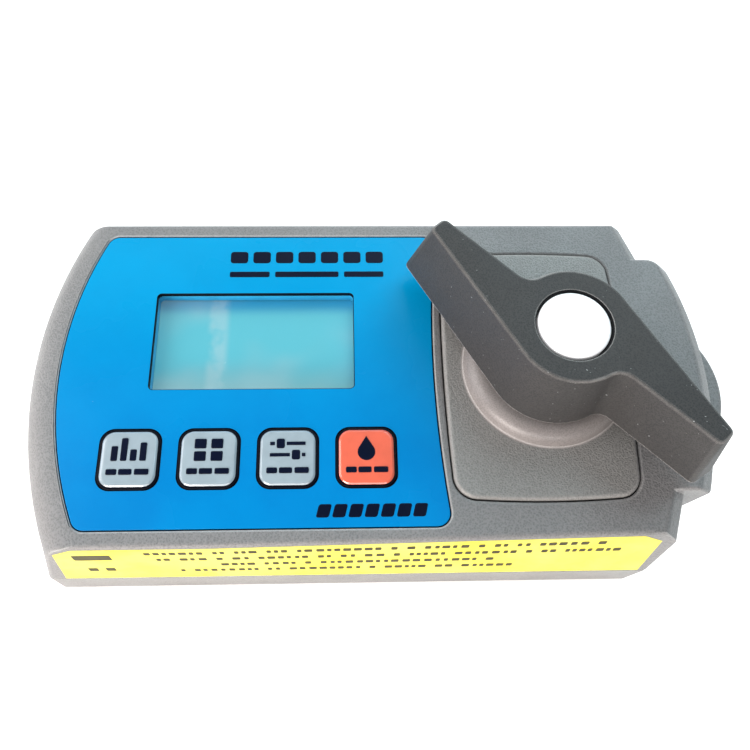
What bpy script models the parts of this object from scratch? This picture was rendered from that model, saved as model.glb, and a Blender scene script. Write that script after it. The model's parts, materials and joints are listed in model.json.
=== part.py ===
"""Hand-press grain moisture meter: a case with a keypad and a display, a screw press worked by a
two-armed handle, and a sample tray that slides in from the right.

Metres, +Z up. The origin lies on the table, midway between the rounded left end of the case and
the front of the tray's grip, on the case's plane of symmetry. -Y is the user's side.
"""

import math

import bmesh
import bpy
from mathutils import Vector

# Driving dimensions of the case
TOP_Z = 0.0380  # top panel
SPLIT_Z = 0.0180  # where the two case halves meet
FLOOR_Z = 0.0020  # underside of the case, held up by the feet
FLOOR_T = 0.0022
CEILING_Z = 0.0348  # inside face of the top panel
WALL = 0.0022
GAP = 0.0003
BEYOND = 0.0010  # how far a cutter runs past the face it opens
HALF_DEPTH = 0.0417  # at the top panel's front and rear edges
LEAN = math.radians(11.3)  # of the front and rear faces
LOWER_LEAN = math.radians(1.6)  # of the lower half's walls, outwards as they go down
BOTTOM_EDGE = 0.0008  # chamfer round the underside
END_ROUND = 0.0068  # radius of the left end's shoulder
CHAMFER = 0.0041  # along the right end's top edge

# Plan of the top panel, measured from the press axis
END_APEX = -0.1177
END_RADIUS = 0.0920
END_CORNER = 0.0012
END_CORNER_GROWTH = 0.004  # how much this corner's radius grows for each metre down the wall
END_SPREAD = 0.0925  # how much further the left end leans than the other walls
END_FLATTEN = 0.92  # how much the end's radius grows for each metre down the wall
FRONT_TAPER = 0.0017  # how far the front's top edge has come in where it meets the shoulder
TAPER_START = -0.0800
TAPER_STEPS = 6
SHOULDER_NEAR = 0.0223  # where the front edge turns into the shoulder
SHOULDER_FAR = 0.0263
FRONT_STEP = (0.0303, 0.0013)  # the step's distance from the axis and the round on its corner
REAR_STEP = (0.0312, 0.0035)
BULGE_APEX = 0.0378
BULGE_RADIUS = 0.0910

# Front label, measured from the press axis
LABEL_LEFT = -0.1135
LABEL_RIGHT = 0.0233
LABEL_SPREAD = 0.0025  # how much further left its lower corner lies
LABEL_CLIP = (0.0048, 0.0026)  # of its upper corners, along x and z

# Tray grip, measured from the press axis
GRIP_APEX = 0.0508
GRIP_HALF = 0.0195
GRIP_BOTTOM = 0.0100
GRIP_TOP = 0.0245
GRIP_EDGE = 0.0015
GRIP_CLEAR = 0.0006  # between the grip and the case
GRIP_SCREW = 0.0449

ROUND_DEPTH = END_ROUND * (1 - math.sin(LEAN))  # how deep the shoulder's round reaches
END_REACH = END_ROUND * math.cos(LEAN) + (TOP_Z - SPLIT_Z - ROUND_DEPTH) * math.tan(LEAN)
LOWER_REACH = (SPLIT_Z - FLOOR_Z - BOTTOM_EDGE) * math.tan(LOWER_LEAN)
END_EXTREME = END_APEX - END_REACH - LOWER_REACH - END_SPREAD * (TOP_Z - FLOOR_Z - BOTTOM_EDGE)
PRESS_X = -(END_EXTREME + GRIP_APEX) / 2
PRESS = Vector((PRESS_X, 0.0))

# Display and keys
OVERLAY_T = 0.0008
OVERLAY_HALF = 0.0378
OVERLAY_LEFT = -0.1163
OVERLAY_RIGHT = -0.0272
OVERLAY_CORNER = 0.0030
OVERLAY_END_RADIUS = 0.0910
OVERLAY_PRESS_RADIUS = 0.3000
RECESS_Z = TOP_Z - OVERLAY_T - GAP
WINDOW = PRESS + Vector((-0.07065, 0.00825))
WINDOW_SIZE = (0.0487, 0.0257)
WINDOW_ROUND = 0.0008
WINDOW_LIP = 0.0020  # how far the window pane reaches under the overlay
WINDOW_T = 0.0010
LCD_Z = 0.0320
LCD_T = 0.0024
KEYS = [PRESS + Vector((-0.0977 + 0.0180 * n, -0.02175)) for n in range(4)]
KEY_HOLE = (0.0140, 0.01435)
KEY_CAP = (0.0128, 0.01315)
KEY_ROUND = 0.0028
KEY_TOP = 0.0387
KEY_EDGE = 0.0005
KEY_FLANGE = (0.0335, 0.0343)
KEY_FLANGE_WIDER = 0.0012
SWITCH_SIDE = 0.0062
SWITCH_TOP = 0.0315
STEM_RADIUS = 0.0017
STEM_SINKS = 0.0007  # how far the stem stands in the switch's well
WELL_DEPTH = 0.0015
DISPLAY_MARGIN = 0.0025  # how far the panel reaches past the window

# Press
COVER_LEFT = -0.0236
COVER_RIGHT = 0.0187
COVER_HALF = 0.0314
COVER_BOW = 0.0010  # how far the cover's sides bulge
COVER_CORNER = 0.0045
COVER_BOTTOM = 0.0362
COVER_TOP = 0.0386
COLLAR_FOOT = 0.0198
COLLAR_RIM = 0.0162
COLLAR_TOP = 0.0422
COLLAR_BORE = 0.0073
COVER_EDGE = 0.0006
COVER_HOLE_CENTRE = PRESS + Vector((-0.0025, 0.0))
COVER_HOLE = (0.0370, 0.0580)
COVER_HOLE_ROUND = 0.0030
HANDLE_BOTTOM = 0.0427
HANDLE_TOP = 0.0611
HUB_RADIUS = 0.01325
HANDLE_FLARE = 0.0025  # how much wider the handle is at its bottom
HANDLE_EDGE = 0.0005
ARM_OUTER = math.radians(-60.0)  # heading of the arm's edge that is tangent to the hub
ARM_INNER = math.radians(-43.8)  # heading of its nearly radial edge
ARM_INNER_OFFSET = 0.00156  # that edge's distance from the press axis
ARM_FILLET = 0.0040
ARM_INNER_FLARE = 0.4  # how far that edge flares, as a share of the sides' flare
TIP_REACH = 0.0356  # from the tangent point to the tip, along the outer edge
TIP_SLANT = 0.0005  # how much the tip's inner corner falls short of its outer one
TIP_SLANT_GROWTH = 0.45  # how much that grows with the flare
TIP_FLARE = 1.7  # how much further the tips flare than the sides
TIP_ROUND = 0.0015
CAP_RADIUS = 0.0078
CAP_BOTTOM = 0.0588
CAP_DOME = 0.0004
CAP_EDGE = 0.0006
CAP_WELL = 0.0560  # floor of the well that holds the cap and the screw's head
SPINDLE_RADIUS = 0.0046
SPINDLE_TOP = 0.0520
SPINDLE_SHOULDER = 0.0240  # rests on the plunger carrier
SPINDLE_END = 0.0190
SPIGOT_RADIUS = 0.0024
HANDLE_SCREW = ((0.0016, 0.0460), (0.0016, 0.0563), (0.0035, 0.0563), (0.0035, 0.0580))
HANDLE_SCREW_HOLE = (0.0020, 0.0450)  # radius and bottom
NUT_NECK = 0.0068
NUT_FLANGE = 0.0088
NUT_FLANGE_TOP = 0.0346
NUT_TOP = 0.0416
NUT_CLEAR = 0.0004
PILLAR_Y = 0.0220
PILLAR_RADIUS = 0.0022
PILLAR_STUD = 0.0014
PILLAR_FIT = 0.0004  # radial room round a stud
PILLAR_NUT = (0.0017, 0.0029)
PILLAR_NUT_T = 0.0012
FRAME_HALF = 0.0260
BASE_X = (-0.0220, 0.0240)
BRIDGE_HALF_X = 0.0090
BRIDGE_EDGE = 0.0008
CARRIER_HALF = (0.0080, 0.0255)
GUIDE_HOLE = 0.0025
SPIGOT_HOLE = 0.0028
BASE_PLATE = (0.0050, 0.0082)
BRIDGE = (0.0290, 0.0330)
CARRIER = (0.0205, 0.0237)
CRUSHER = (0.0169, 0.0187)
CRUSHER_RADIUS = 0.0105
CRUSHER_EDGE = 0.0004
RETAINER = (0.0193, 0.0201)
RETAINER_RADII = (0.0027, 0.0045)
PLUNGER_INSULATOR = (0.0190, 0.0202)
PLUNGER_INSULATOR_RADII = (0.0052, 0.0115)
TRAY = (0.0123, 0.0165)
TRAY_HALF = 0.0147
TRAY_BACK = -0.0165
TRAY_FRONT = 0.0380
TONGUE_END = 0.0475
TONGUE_HALF = 0.0080
DISH_RADIUS = 0.0125
DISH_DEPTH = 0.0012
DISH_DRAFT = 0.0006
GUIDE_TOP = 0.0168
GUIDE_INNER = 0.0151
GUIDE_OUTER = 0.0186
GUIDE_X = (-0.0210, 0.0240)
GUIDE_STOP = -0.0175
TAIL_HALF = 0.0020
TAIL_END = -0.0250
TAIL = (0.0104, 0.0115)
ELECTRODE = (0.0100, 0.0119)
ELECTRODE_RADII = (0.0020, 0.0125)
ELECTRODE_INSULATOR = (0.0085, 0.0097)
ELECTRODE_INSULATOR_RADII = (0.0030, 0.0140)
LEAD_RADIUS = 0.0006
LEAD_KNOTS = (
    (-0.0228, 0.0118), (-0.0228, 0.0200), (-0.0240, 0.0212),
    (-0.0340, 0.0218), (-0.0350, 0.0226), (-0.0350, 0.0257),
)  # x from the press axis, z
PROBE = PRESS + Vector((-0.0150, 0.0225))
PROBE_RADIUS = 0.0022
PROBE_TOP = 0.0132
GRIP_SCREW_HEAD = (0.0020, 0.0101, 0.0105)  # radius, bottom and top
GRIP_SCREW_SHANK = (0.0010, 0.0150)  # radius and top
GRIP_SCREW_SEAT = 0.0108

# Lower half and its contents
SCREWS = [PRESS + Vector((x, y)) for x in (-0.1110, 0.0195) for y in (-0.0345, 0.0345)]
FEET = [PRESS + Vector((x, y)) for x in (-0.1115, 0.0290) for y in (-0.0200, 0.0200)]
SCREW_HEAD = (0.0027, 0.0031, 0.0052)  # radius, bottom and top
SCREW_SHANK = (0.0011, 0.0270)  # radius and top
SCREW_SEAT = 0.0055
SCREW_ROOM = 0.0005  # radial room round a screw
BOSS_RADIUS = 0.0032
COLUMN_RADIUS = 0.0036
PILOT_TOP = 0.0295
ROOT = 0.0004  # how far a boss runs into the wall it grows from
FRAME_RESTS = [PRESS + Vector((x, y)) for x in (-0.0180, 0.0180) for y in (-0.0215, 0.0215)]
FRAME_REST_RADIUS = 0.0030
FOOT_RADIUS = 0.0050
FOOT_EDGE = 0.0006
CELL_RADIUS = 0.0071
CELL_LENGTH = 0.0495
CELL_Z = 0.0117
CELLS = [PRESS + Vector((-0.0980 + 0.0150 * n, 0.0)) for n in range(4)]
BAY_CENTRE = PRESS + Vector((-0.0755, 0.0))
BAY_SIZE = (0.0630, 0.0590)
BAY_WALL = 0.0015
BAY_TOP = 0.0204
BAY_ROOF = 0.0012
CELL_EDGE = 0.0005
NUB = (0.0027, 0.0010)  # radius and height of a cell's positive end
CONTACT_GAP = 0.0018  # from a cell's end to the contact plate
CONTACT_T = 0.0004
CONTACT_X = (-0.1045, -0.0465)
CONTACT_Z = (0.0055, 0.0185)
SPRING_RADII = (0.0030, 0.0012)
DOOR_TOP = 0.0040
BOARD_CENTRE = PRESS + Vector((-0.0680, 0.0))
BOARD_SIZE = (0.0760, 0.0580)
BOARD = (0.0260, 0.0276)
STAKES = [BOARD_CENTRE + Vector((x, y)) for x in (-0.0350, 0.0350) for y in (-0.0090, 0.0260)]
STAKE_RADIUS = 0.0012
STAKE_SHOULDER = 0.0022
STAKE_TIP = 0.0250
BUZZER = PRESS + Vector((-0.0365, 0.0200))
BUZZER_RADII = (0.0010, 0.0058)
LABEL_FILM = 0.0003
LABEL_DEPTH = 0.0005  # of its recess
LABEL_MARGIN = 0.0002
LABEL_TOP = TOP_Z - 0.0012
LABEL_BOTTOM = SPLIT_Z + 0.0004


# ---------------------------------------------------------------- scene and materials


def clear_scene():
    for thing in list(bpy.data.objects):
        bpy.data.objects.remove(thing, do_unlink=True)


def material(name, colour, roughness, metallic=0.0):
    made = bpy.data.materials.new(name)
    made.use_nodes = True
    shader = made.node_tree.nodes["Principled BSDF"]
    shader.inputs["Base Color"].default_value = (*colour, 1.0)
    shader.inputs["Roughness"].default_value = roughness
    shader.inputs["Metallic"].default_value = metallic
    made.diffuse_color = (*colour, 1.0)
    return made


def axis_empty(name, place):
    """The parent of the pieces that move together, on their joint's axis."""
    empty = bpy.data.objects.new(name, None)
    empty.location = place
    bpy.context.scene.collection.objects.link(empty)
    return empty


clear_scene()
CASE_GREY = material("case_grey", (0.25, 0.26, 0.27), 0.55)
HANDLE_GREY = material("handle_grey", (0.13, 0.13, 0.13), 0.5)
OVERLAY_BLUE = material("overlay_blue", (0.0, 0.30, 0.75), 0.3)
KEY_GREY = material("key_grey", (0.50, 0.53, 0.56), 0.25)
KEY_ORANGE = material("key_orange", (0.85, 0.18, 0.06), 0.25)
LABEL_YELLOW = material("label_yellow", (1.0, 0.85, 0.05), 0.45)
CAP_WHITE = material("cap_white", (0.85, 0.85, 0.87), 0.2)
CLEAR = material("clear_window", (0.75, 0.9, 0.95), 0.05)
GLASS = material("display_glass", (0.25, 0.55, 0.55), 0.1)
BLACK = material("black_plastic", (0.03, 0.03, 0.03), 0.45)
RUBBER = material("rubber", (0.02, 0.02, 0.02), 0.85)
STEEL = material("steel", (0.6, 0.6, 0.62), 0.3, 1.0)
BRASS = material("brass", (0.75, 0.55, 0.25), 0.3, 1.0)
BOARD_GREEN = material("board_green", (0.02, 0.2, 0.08), 0.4)
INSULATOR = material("insulator_white", (0.8, 0.8, 0.76), 0.5)
CELL_WRAP = material("cell_wrap", (0.1, 0.12, 0.14), 0.3)

PLUNGER = axis_empty("plunger", (PRESS_X, 0.0, CARRIER[0]))
HANDLE = axis_empty("handle_axis", (PRESS_X, 0.0, HANDLE_BOTTOM))
TRAY_SLIDE = axis_empty("tray_slide", (PRESS_X, 0.0, TRAY[0]))
KEY_AXES = [axis_empty(f"key_axis_{n + 1}", (*spot, KEY_TOP)) for n, spot in enumerate(KEYS)]
DOOR_HINGE = axis_empty("door_hinge", (BAY_CENTRE.x - BAY_SIZE[0] / 2 + BAY_WALL, 0.0, FLOOR_Z))


# ---------------------------------------------------------------- plan outlines


def heading(angle):
    return Vector((math.cos(angle), math.sin(angle)))


def arc(centre, radius, start, end, steps):
    """Points along an arc, both ends included."""
    turns = [start + (end - start) * n / steps for n in range(steps + 1)]
    return [Vector(centre) + radius * heading(turn) for turn in turns]


def circle(centre, radius, steps=24):
    return arc(centre, radius, 0.0, 2 * math.pi, steps)[:-1]


def rounded(corners, steps=4):
    """A closed outline from corners (point, radius), each rounded by its radius."""
    points = []
    for n, (here, radius) in enumerate(corners):
        if radius == 0:
            points.append(here)
            continue
        before = (corners[n - 1][0] - here).normalized()
        after = (corners[(n + 1) % len(corners)][0] - here).normalized()
        half = before.angle(after) / 2
        middle = here + (before + after).normalized() * radius / math.sin(half)
        first = here + before * radius / math.tan(half) - middle
        last = here + after * radius / math.tan(half) - middle
        start = math.atan2(first.y, first.x)
        sweep = (math.atan2(last.y, last.x) - start + math.pi) % (2 * math.pi) - math.pi
        points += arc(middle, radius, start, start + sweep, steps)
    return points


def rectangle(centre, size, radius=0.0, steps=4):
    signs = ((-1, -1), (1, -1), (1, 1), (-1, 1))
    corners = [centre + Vector((a * size[0] / 2, b * size[1] / 2)) for a, b in signs]
    return rounded([(corner, radius) for corner in corners], steps)


def grown(points, distance):
    """An outline moved outwards."""
    moved = []
    for n, here in enumerate(points):
        along = (here - points[n - 1]).normalized()
        onward = (points[(n + 1) % len(points)] - here).normalized()
        normal, next_normal = Vector((along.y, -along.x)), Vector((onward.y, -onward.x))
        middle = (normal + next_normal).normalized()
        moved.append(here + middle * distance / middle.dot(normal))
    return moved


def divided(points, longest):
    """An outline whose long edges carry extra points."""
    dense = []
    for n, here in enumerate(points):
        onward = points[(n + 1) % len(points)]
        pieces = max(1, math.ceil((onward - here).length / longest))
        dense += [here.lerp(onward, k / pieces) for k in range(pieces)]
    return dense


def end_corner(arc_centre, arc_radius, side_y, corner_radius, side):
    """The round between a straight edge at y = side_y and an arc that bulges to one side in x."""
    reach = arc_radius - corner_radius
    drop = abs(side_y) - corner_radius
    x = arc_centre + side * math.sqrt(reach**2 - drop**2)
    y = math.copysign(drop, side_y)
    return Vector((x, y)), math.atan2(y, x - arc_centre)


def shoulder_x(y, chamfer):
    """Where the shoulder's line, moved out by the chamfer, crosses a distance from the axis."""
    run = Vector((SHOULDER_FAR - SHOULDER_NEAR, HALF_DEPTH - FRONT_STEP[0])).normalized()
    return SHOULDER_NEAR + (chamfer + (HALF_DEPTH - y) * run.x) / run.y


def front_taper(depth):
    """How far the front face has come in at the shoulder, at a depth below the top panel."""
    return FRONT_TAPER * (1 - depth / (TOP_Z - SPLIT_Z))


def case_side(end, bulge, half, taper, step, depth, tuck):
    """Half of the outline, from the left end to the bulge, with the angles where it meets them."""
    chamfer = min(depth, CHAMFER) - tuck
    round_off = END_CORNER + depth * END_CORNER_GROWTH
    corner, joins = end_corner(*end, -half, round_off, -1)
    near = Vector((shoulder_x(half - taper, chamfer), taper - half))
    far = Vector((shoulder_x(step[0] - tuck, chamfer), tuck - step[0]))
    knee, meets = end_corner(*bulge, far.y, step[1], 1)
    bend = Vector((TAPER_START, -half))
    points = arc(corner, round_off, joins, -math.pi / 2, 5)
    points += [bend.lerp(near, n / TAPER_STEPS) for n in range(TAPER_STEPS + 1)]
    points.append(far)
    points += arc(knee, step[1], -math.pi / 2, meets, 3)
    return points, joins, meets


def case_outline(z, inset):
    """The case in plan at height z, moved inwards by inset."""
    drop = TOP_Z - z
    depth = min(drop, TOP_Z - SPLIT_Z)
    tuck = inset - (drop - depth) * math.tan(LOWER_LEAN)
    curved = END_ROUND * math.cos(LEAN) + (depth - ROUND_DEPTH) * math.tan(LEAN)
    if depth < ROUND_DEPTH:
        curved = math.sqrt(END_ROUND**2 - (END_ROUND - depth) ** 2)
    half = HALF_DEPTH + depth * math.tan(LEAN) - tuck
    end_x = END_APEX + END_RADIUS + (END_FLATTEN - END_SPREAD) * drop
    end = (end_x, END_RADIUS + END_FLATTEN * drop + curved - tuck)
    bulge = (BULGE_APEX - BULGE_RADIUS, BULGE_RADIUS + min(depth, CHAMFER) - tuck)
    taper = front_taper(depth)
    front, joins, front_meets = case_side(end, bulge, half, taper, FRONT_STEP, depth, tuck)
    mirrored, _, rear_meets = case_side(end, bulge, half, 0.0, REAR_STEP, depth, tuck)
    right = arc((bulge[0], 0.0), bulge[1], front_meets, -rear_meets, 10)[1:-1]
    rear = [Vector((p.x, -p.y)) for p in reversed(mirrored)]
    left = arc((end[0], 0.0), end[1], -joins, 2 * math.pi + joins, 14)[1:-1]
    return [PRESS + p for p in front + right + rear + left]


def case_rings(levels):
    """Outlines of the case at levels (z, inset)."""
    return [(case_outline(z, inset), z) for z, inset in levels]


def overlay_outline():
    """The faceplate: a rounded left end and a right edge that bows round the press."""
    left = PRESS_X + OVERLAY_LEFT + OVERLAY_END_RADIUS
    right = PRESS_X + OVERLAY_RIGHT - OVERLAY_PRESS_RADIUS
    left_turn = math.asin(OVERLAY_HALF / OVERLAY_END_RADIUS)
    right_turn = math.asin(OVERLAY_HALF / OVERLAY_PRESS_RADIUS)
    near = arc((left, 0.0), OVERLAY_END_RADIUS, math.pi - left_turn, math.pi + left_turn, 12)
    mirrored = arc((right, 0.0), OVERLAY_PRESS_RADIUS, -right_turn, right_turn, 8)
    far = [Vector((2 * (PRESS_X + OVERLAY_RIGHT) - p.x, p.y)) for p in mirrored]
    corners = []
    for run in (near, far):
        corners += [(p, OVERLAY_CORNER if p in (run[0], run[-1]) else 0) for p in run]
    return rounded(corners)


def cover_outline():
    """The press cover: a rounded rectangle with slightly bowed sides."""
    half_x = (COVER_RIGHT - COVER_LEFT) / 2
    middle = PRESS + Vector(((COVER_RIGHT + COVER_LEFT) / 2, 0.0))
    plain = divided(rectangle(middle, (2 * half_x, 2 * COVER_HALF), COVER_CORNER), 0.008)
    bowed = []
    for p in plain:
        x, y = (p.x - middle.x) / half_x, p.y / COVER_HALF
        shift = Vector((x * (1 - y * y), y * (1 - x * x)))
        bowed.append(p + COVER_BOW * shift)
    return bowed


def handle_outline(flare):
    """The hub and its two arms, each with one edge tangent to the hub and one nearly radial."""
    outer, inner = heading(ARM_OUTER), heading(ARM_INNER)
    hub_radius = HUB_RADIUS + flare
    tangent = hub_radius * Vector((-outer.y, outer.x))
    aside = Vector((inner.y, -inner.x))
    offset = ARM_INNER_OFFSET + flare * ARM_INNER_FLARE
    along = math.sqrt((hub_radius + ARM_FILLET) ** 2 - (offset + ARM_FILLET) ** 2)
    fillet = aside * (offset + ARM_FILLET) + inner * along
    tip_far = tangent + outer * (TIP_REACH + flare * TIP_FLARE)
    slant = TIP_SLANT + flare * TIP_SLANT_GROWTH
    tip_near = aside * offset + (tip_far.dot(inner) - slant) * inner
    root = aside * offset + inner * along
    tip = rounded([(tangent, 0), (root, 0), (tip_near, TIP_ROUND), (tip_far, TIP_ROUND)], 3)[2:]
    on_hub = math.atan2(-fillet.y, -fillet.x) % (2 * math.pi)
    on_line = math.atan2(-aside.y, -aside.x) % (2 * math.pi)
    corner = arc(fillet, ARM_FILLET, on_hub, on_line, 4)
    hub_start = math.atan2(-tangent.y, -tangent.x)
    hub_end = math.atan2(fillet.y, fillet.x)
    hub = arc((0, 0), hub_radius, hub_start, hub_end, 7)[:-1]
    half = hub + corner + tip
    return [PRESS + p for p in half] + [PRESS - p for p in half]


# ---------------------------------------------------------------- solids


def finish(name, mesh, finish_material, parent=None):
    """Turns a bmesh in world coordinates into an object whose origin is its parent's place."""
    bmesh.ops.recalc_face_normals(mesh, faces=mesh.faces)
    if parent:
        bmesh.ops.translate(mesh, verts=mesh.verts, vec=-parent.location)
    data = bpy.data.meshes.new(name)
    mesh.to_mesh(data)
    mesh.free()
    data.materials.append(finish_material)
    data.shade_smooth()
    data.set_sharp_from_angle(angle=math.radians(28))
    made = bpy.data.objects.new(name, data)
    bpy.context.scene.collection.objects.link(made)
    made.parent = parent
    return made


def bridged(loops, closed=False):
    """A bmesh through equal loops of points; closed joins the last loop to the first."""
    mesh = bmesh.new()
    loops = [[mesh.verts.new(place) for place in loop] for loop in loops]
    pairs = list(zip(loops, loops[1:]))
    if closed:
        pairs.append((loops[-1], loops[0]))
    else:
        mesh.faces.new(reversed(loops[0]))
        mesh.faces.new(loops[-1])
    for low, high in pairs:
        for n in range(len(low)):
            mesh.faces.new((low[n - 1], low[n], high[n], high[n - 1]))
    return mesh


def lofted(name, rings, finish_material, parent=None, closed=False):
    """A solid through level rings (outline, z), lowest first."""
    loops = [[(p.x, p.y, z) for p in outline] for outline, z in rings]
    return finish(name, bridged(loops, closed), finish_material, parent)


def lying(name, x, z, profile, finish_material, steps=16):
    """A solid turned about a line along Y through (x, z); profile lists (radius, y)."""
    loops = [[(x + p.x, y, z + p.y) for p in circle((0, 0), radius, steps)] for radius, y in profile]
    return finish(name, bridged(loops), finish_material)


def prism(name, outline, heights, finish_material, parent=None, edge=0.0):
    """An upright plate; edge chamfers its top."""
    low, high = heights
    rings = [(outline, low), (outline, high - edge)]
    if edge:
        rings.append((grown(outline, -edge), high))
    else:
        rings[-1] = (outline, high)
    return lofted(name, rings, finish_material, parent)


def turned(name, centre, profile, finish_material, parent=None, steps=24, bored=False):
    """A turned piece: profile (radius, z) climbs the outside and, if bored, comes back inside."""
    rings = [(circle(centre, radius, steps), z) for radius, z in profile]
    return lofted(name, rings, finish_material, parent, closed=bored)


def washer(name, centre, radii, heights, finish_material, parent=None, steps=24):
    (inner, outer), (low, high) = radii, heights
    profile = [(outer, low), (outer, high), (inner, high), (inner, low)]
    return turned(name, centre, profile, finish_material, parent, steps, bored=True)


def wire(name, points, radius, finish_material):
    """A round lead bent through points."""
    curve = bpy.data.curves.new(name, "CURVE")
    curve.dimensions = "3D"
    curve.bevel_depth = radius
    curve.bevel_resolution = 1
    curve.use_fill_caps = True
    spline = curve.splines.new("POLY")
    spline.points.add(len(points) - 1)
    for knot, place in zip(spline.points, points):
        knot.co = (*place, 1.0)
    curve.materials.append(finish_material)
    made = bpy.data.objects.new(name, curve)
    bpy.context.scene.collection.objects.link(made)
    return made


def combine(target, helper, operation):
    helper.hide_render = True
    helper.display_type = "WIRE"
    modifier = target.modifiers.new(helper.name, "BOOLEAN")
    modifier.operation = operation
    modifier.object = helper


def cut(target, *cutters):
    for cutter in cutters:
        combine(target, cutter, "DIFFERENCE")


def join(target, *additions):
    for addition in additions:
        combine(target, addition, "UNION")


def bar(name, x, y, z, finish_material, parent=None, edge=0.0):
    """A box between (low, high) pairs; x and y are measured from the press axis."""
    middle = PRESS + Vector(((x[0] + x[1]) / 2, (y[0] + y[1]) / 2))
    outline = rectangle(middle, (x[1] - x[0], y[1] - y[0]))
    return prism(name, outline, z, finish_material, parent, edge)


def past(heights):
    """The heights of a cutter that goes right through a plate."""
    return (heights[0] - BEYOND, heights[1] + BEYOND)


# ---------------------------------------------------------------- case


def front_y(x, z):
    """Where the upper half's front face lies; x is measured from the press axis."""
    depth = TOP_Z - z
    half = HALF_DEPTH + depth * math.tan(LEAN)
    taper = front_taper(depth)
    right = shoulder_x(half - taper, min(depth, CHAMFER))
    share = (x - TAPER_START) / (right - TAPER_START)
    return taper * max(share, 0.0) - half


def label_slab(name, inner, outer, margin):
    """A plate that follows the front face, between two distances outside the face."""
    left, right = LABEL_LEFT - margin, LABEL_RIGHT + margin
    upper, lower = LABEL_TOP + margin, LABEL_BOTTOM - margin
    clip_x, clip_z = LABEL_CLIP
    last = right - clip_x
    between = [TAPER_START + (last - TAPER_START) * n / TAPER_STEPS for n in range(TAPER_STEPS + 1)]
    between.insert(0, left + clip_x)
    below = [(x, lower) for x in [left - LABEL_SPREAD] + between + [right]]
    above = [(left, upper - clip_z)] + [(x, upper) for x in between] + [(right, upper - clip_z)]
    loops = []
    for low, high in zip(below, above):
        section = [(low, inner), (low, outer), (high, outer), (high, inner)]
        loops.append(
            [(PRESS_X + x, front_y(x, z) - stand / math.cos(LEAN), z) for (x, z), stand in section]
        )
    return finish(name, bridged(loops), LABEL_YELLOW)


def pane_size(margin):
    return (WINDOW_SIZE[0] + 2 * margin, WINDOW_SIZE[1] + 2 * margin)


def make_top_shell():
    depths = [TOP_Z - SPLIT_Z, ROUND_DEPTH, CHAMFER]
    depths += [END_ROUND * (1 - math.sin(math.radians(rise))) for rise in (38, 56, 73)] + [0]
    shell = lofted("top_shell", case_rings([(TOP_Z - d, 0.0) for d in depths]), CASE_GREY)
    inside = [(SPLIT_Z - BEYOND, WALL), (TOP_Z - ROUND_DEPTH, WALL), (CEILING_Z, WALL)]
    cavity = lofted("top_cavity", case_rings(inside), CASE_GREY)
    above = TOP_Z + BEYOND
    pane_hole = rectangle(WINDOW, pane_size(WINDOW_LIP + GAP))
    recesses = {
        "overlay_recess": (grown(overlay_outline(), GAP), RECESS_Z),
        "cover_recess": (grown(cover_outline(), GAP), COVER_BOTTOM - GAP),
        "cover_opening": (
            rectangle(COVER_HOLE_CENTRE, COVER_HOLE, COVER_HOLE_ROUND),
            CEILING_Z - BEYOND,
        ),
        "pane_recess": (pane_hole, RECESS_Z - WINDOW_T - GAP),
        "display_hole": (rectangle(WINDOW, WINDOW_SIZE), CEILING_Z - BEYOND),
    }
    for n, spot in enumerate(KEYS, start=1):
        hole = rectangle(spot, (KEY_CAP[0] + 2 * GAP, KEY_CAP[1] + 2 * GAP), KEY_ROUND)
        recesses[f"key_hole_{n}"] = (hole, CEILING_Z - BEYOND)
    cut(shell, cavity, label_slab("label_recess", -LABEL_DEPTH, BEYOND, LABEL_MARGIN))
    for name, (outline, floor) in recesses.items():
        cut(shell, prism(name, outline, (floor, above), CASE_GREY))
    add_top_bosses(shell)


def add_top_bosses(shell):
    roof = CEILING_Z + ROOT
    for n, spot in enumerate(SCREWS, start=1):
        column = circle(spot, BOSS_RADIUS, 12)
        join(shell, prism(f"screw_boss_{n}", column, (SPLIT_Z + GAP, roof), CASE_GREY))
        pilot = circle(spot, SCREW_SHANK[0] + GAP, 8)
        cut(shell, prism(f"screw_pilot_{n}", pilot, (SPLIT_Z - BEYOND, PILOT_TOP), CASE_GREY))
    rest = BOARD[1] + 2 * GAP
    for n, spot in enumerate(STAKES, start=1):
        profile = [(STAKE_RADIUS, STAKE_TIP), (STAKE_RADIUS, rest)]
        profile += [(STAKE_SHOULDER, rest), (STAKE_SHOULDER, roof)]
        join(shell, turned(f"board_stake_{n}", spot, profile, CASE_GREY, steps=8))


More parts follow.
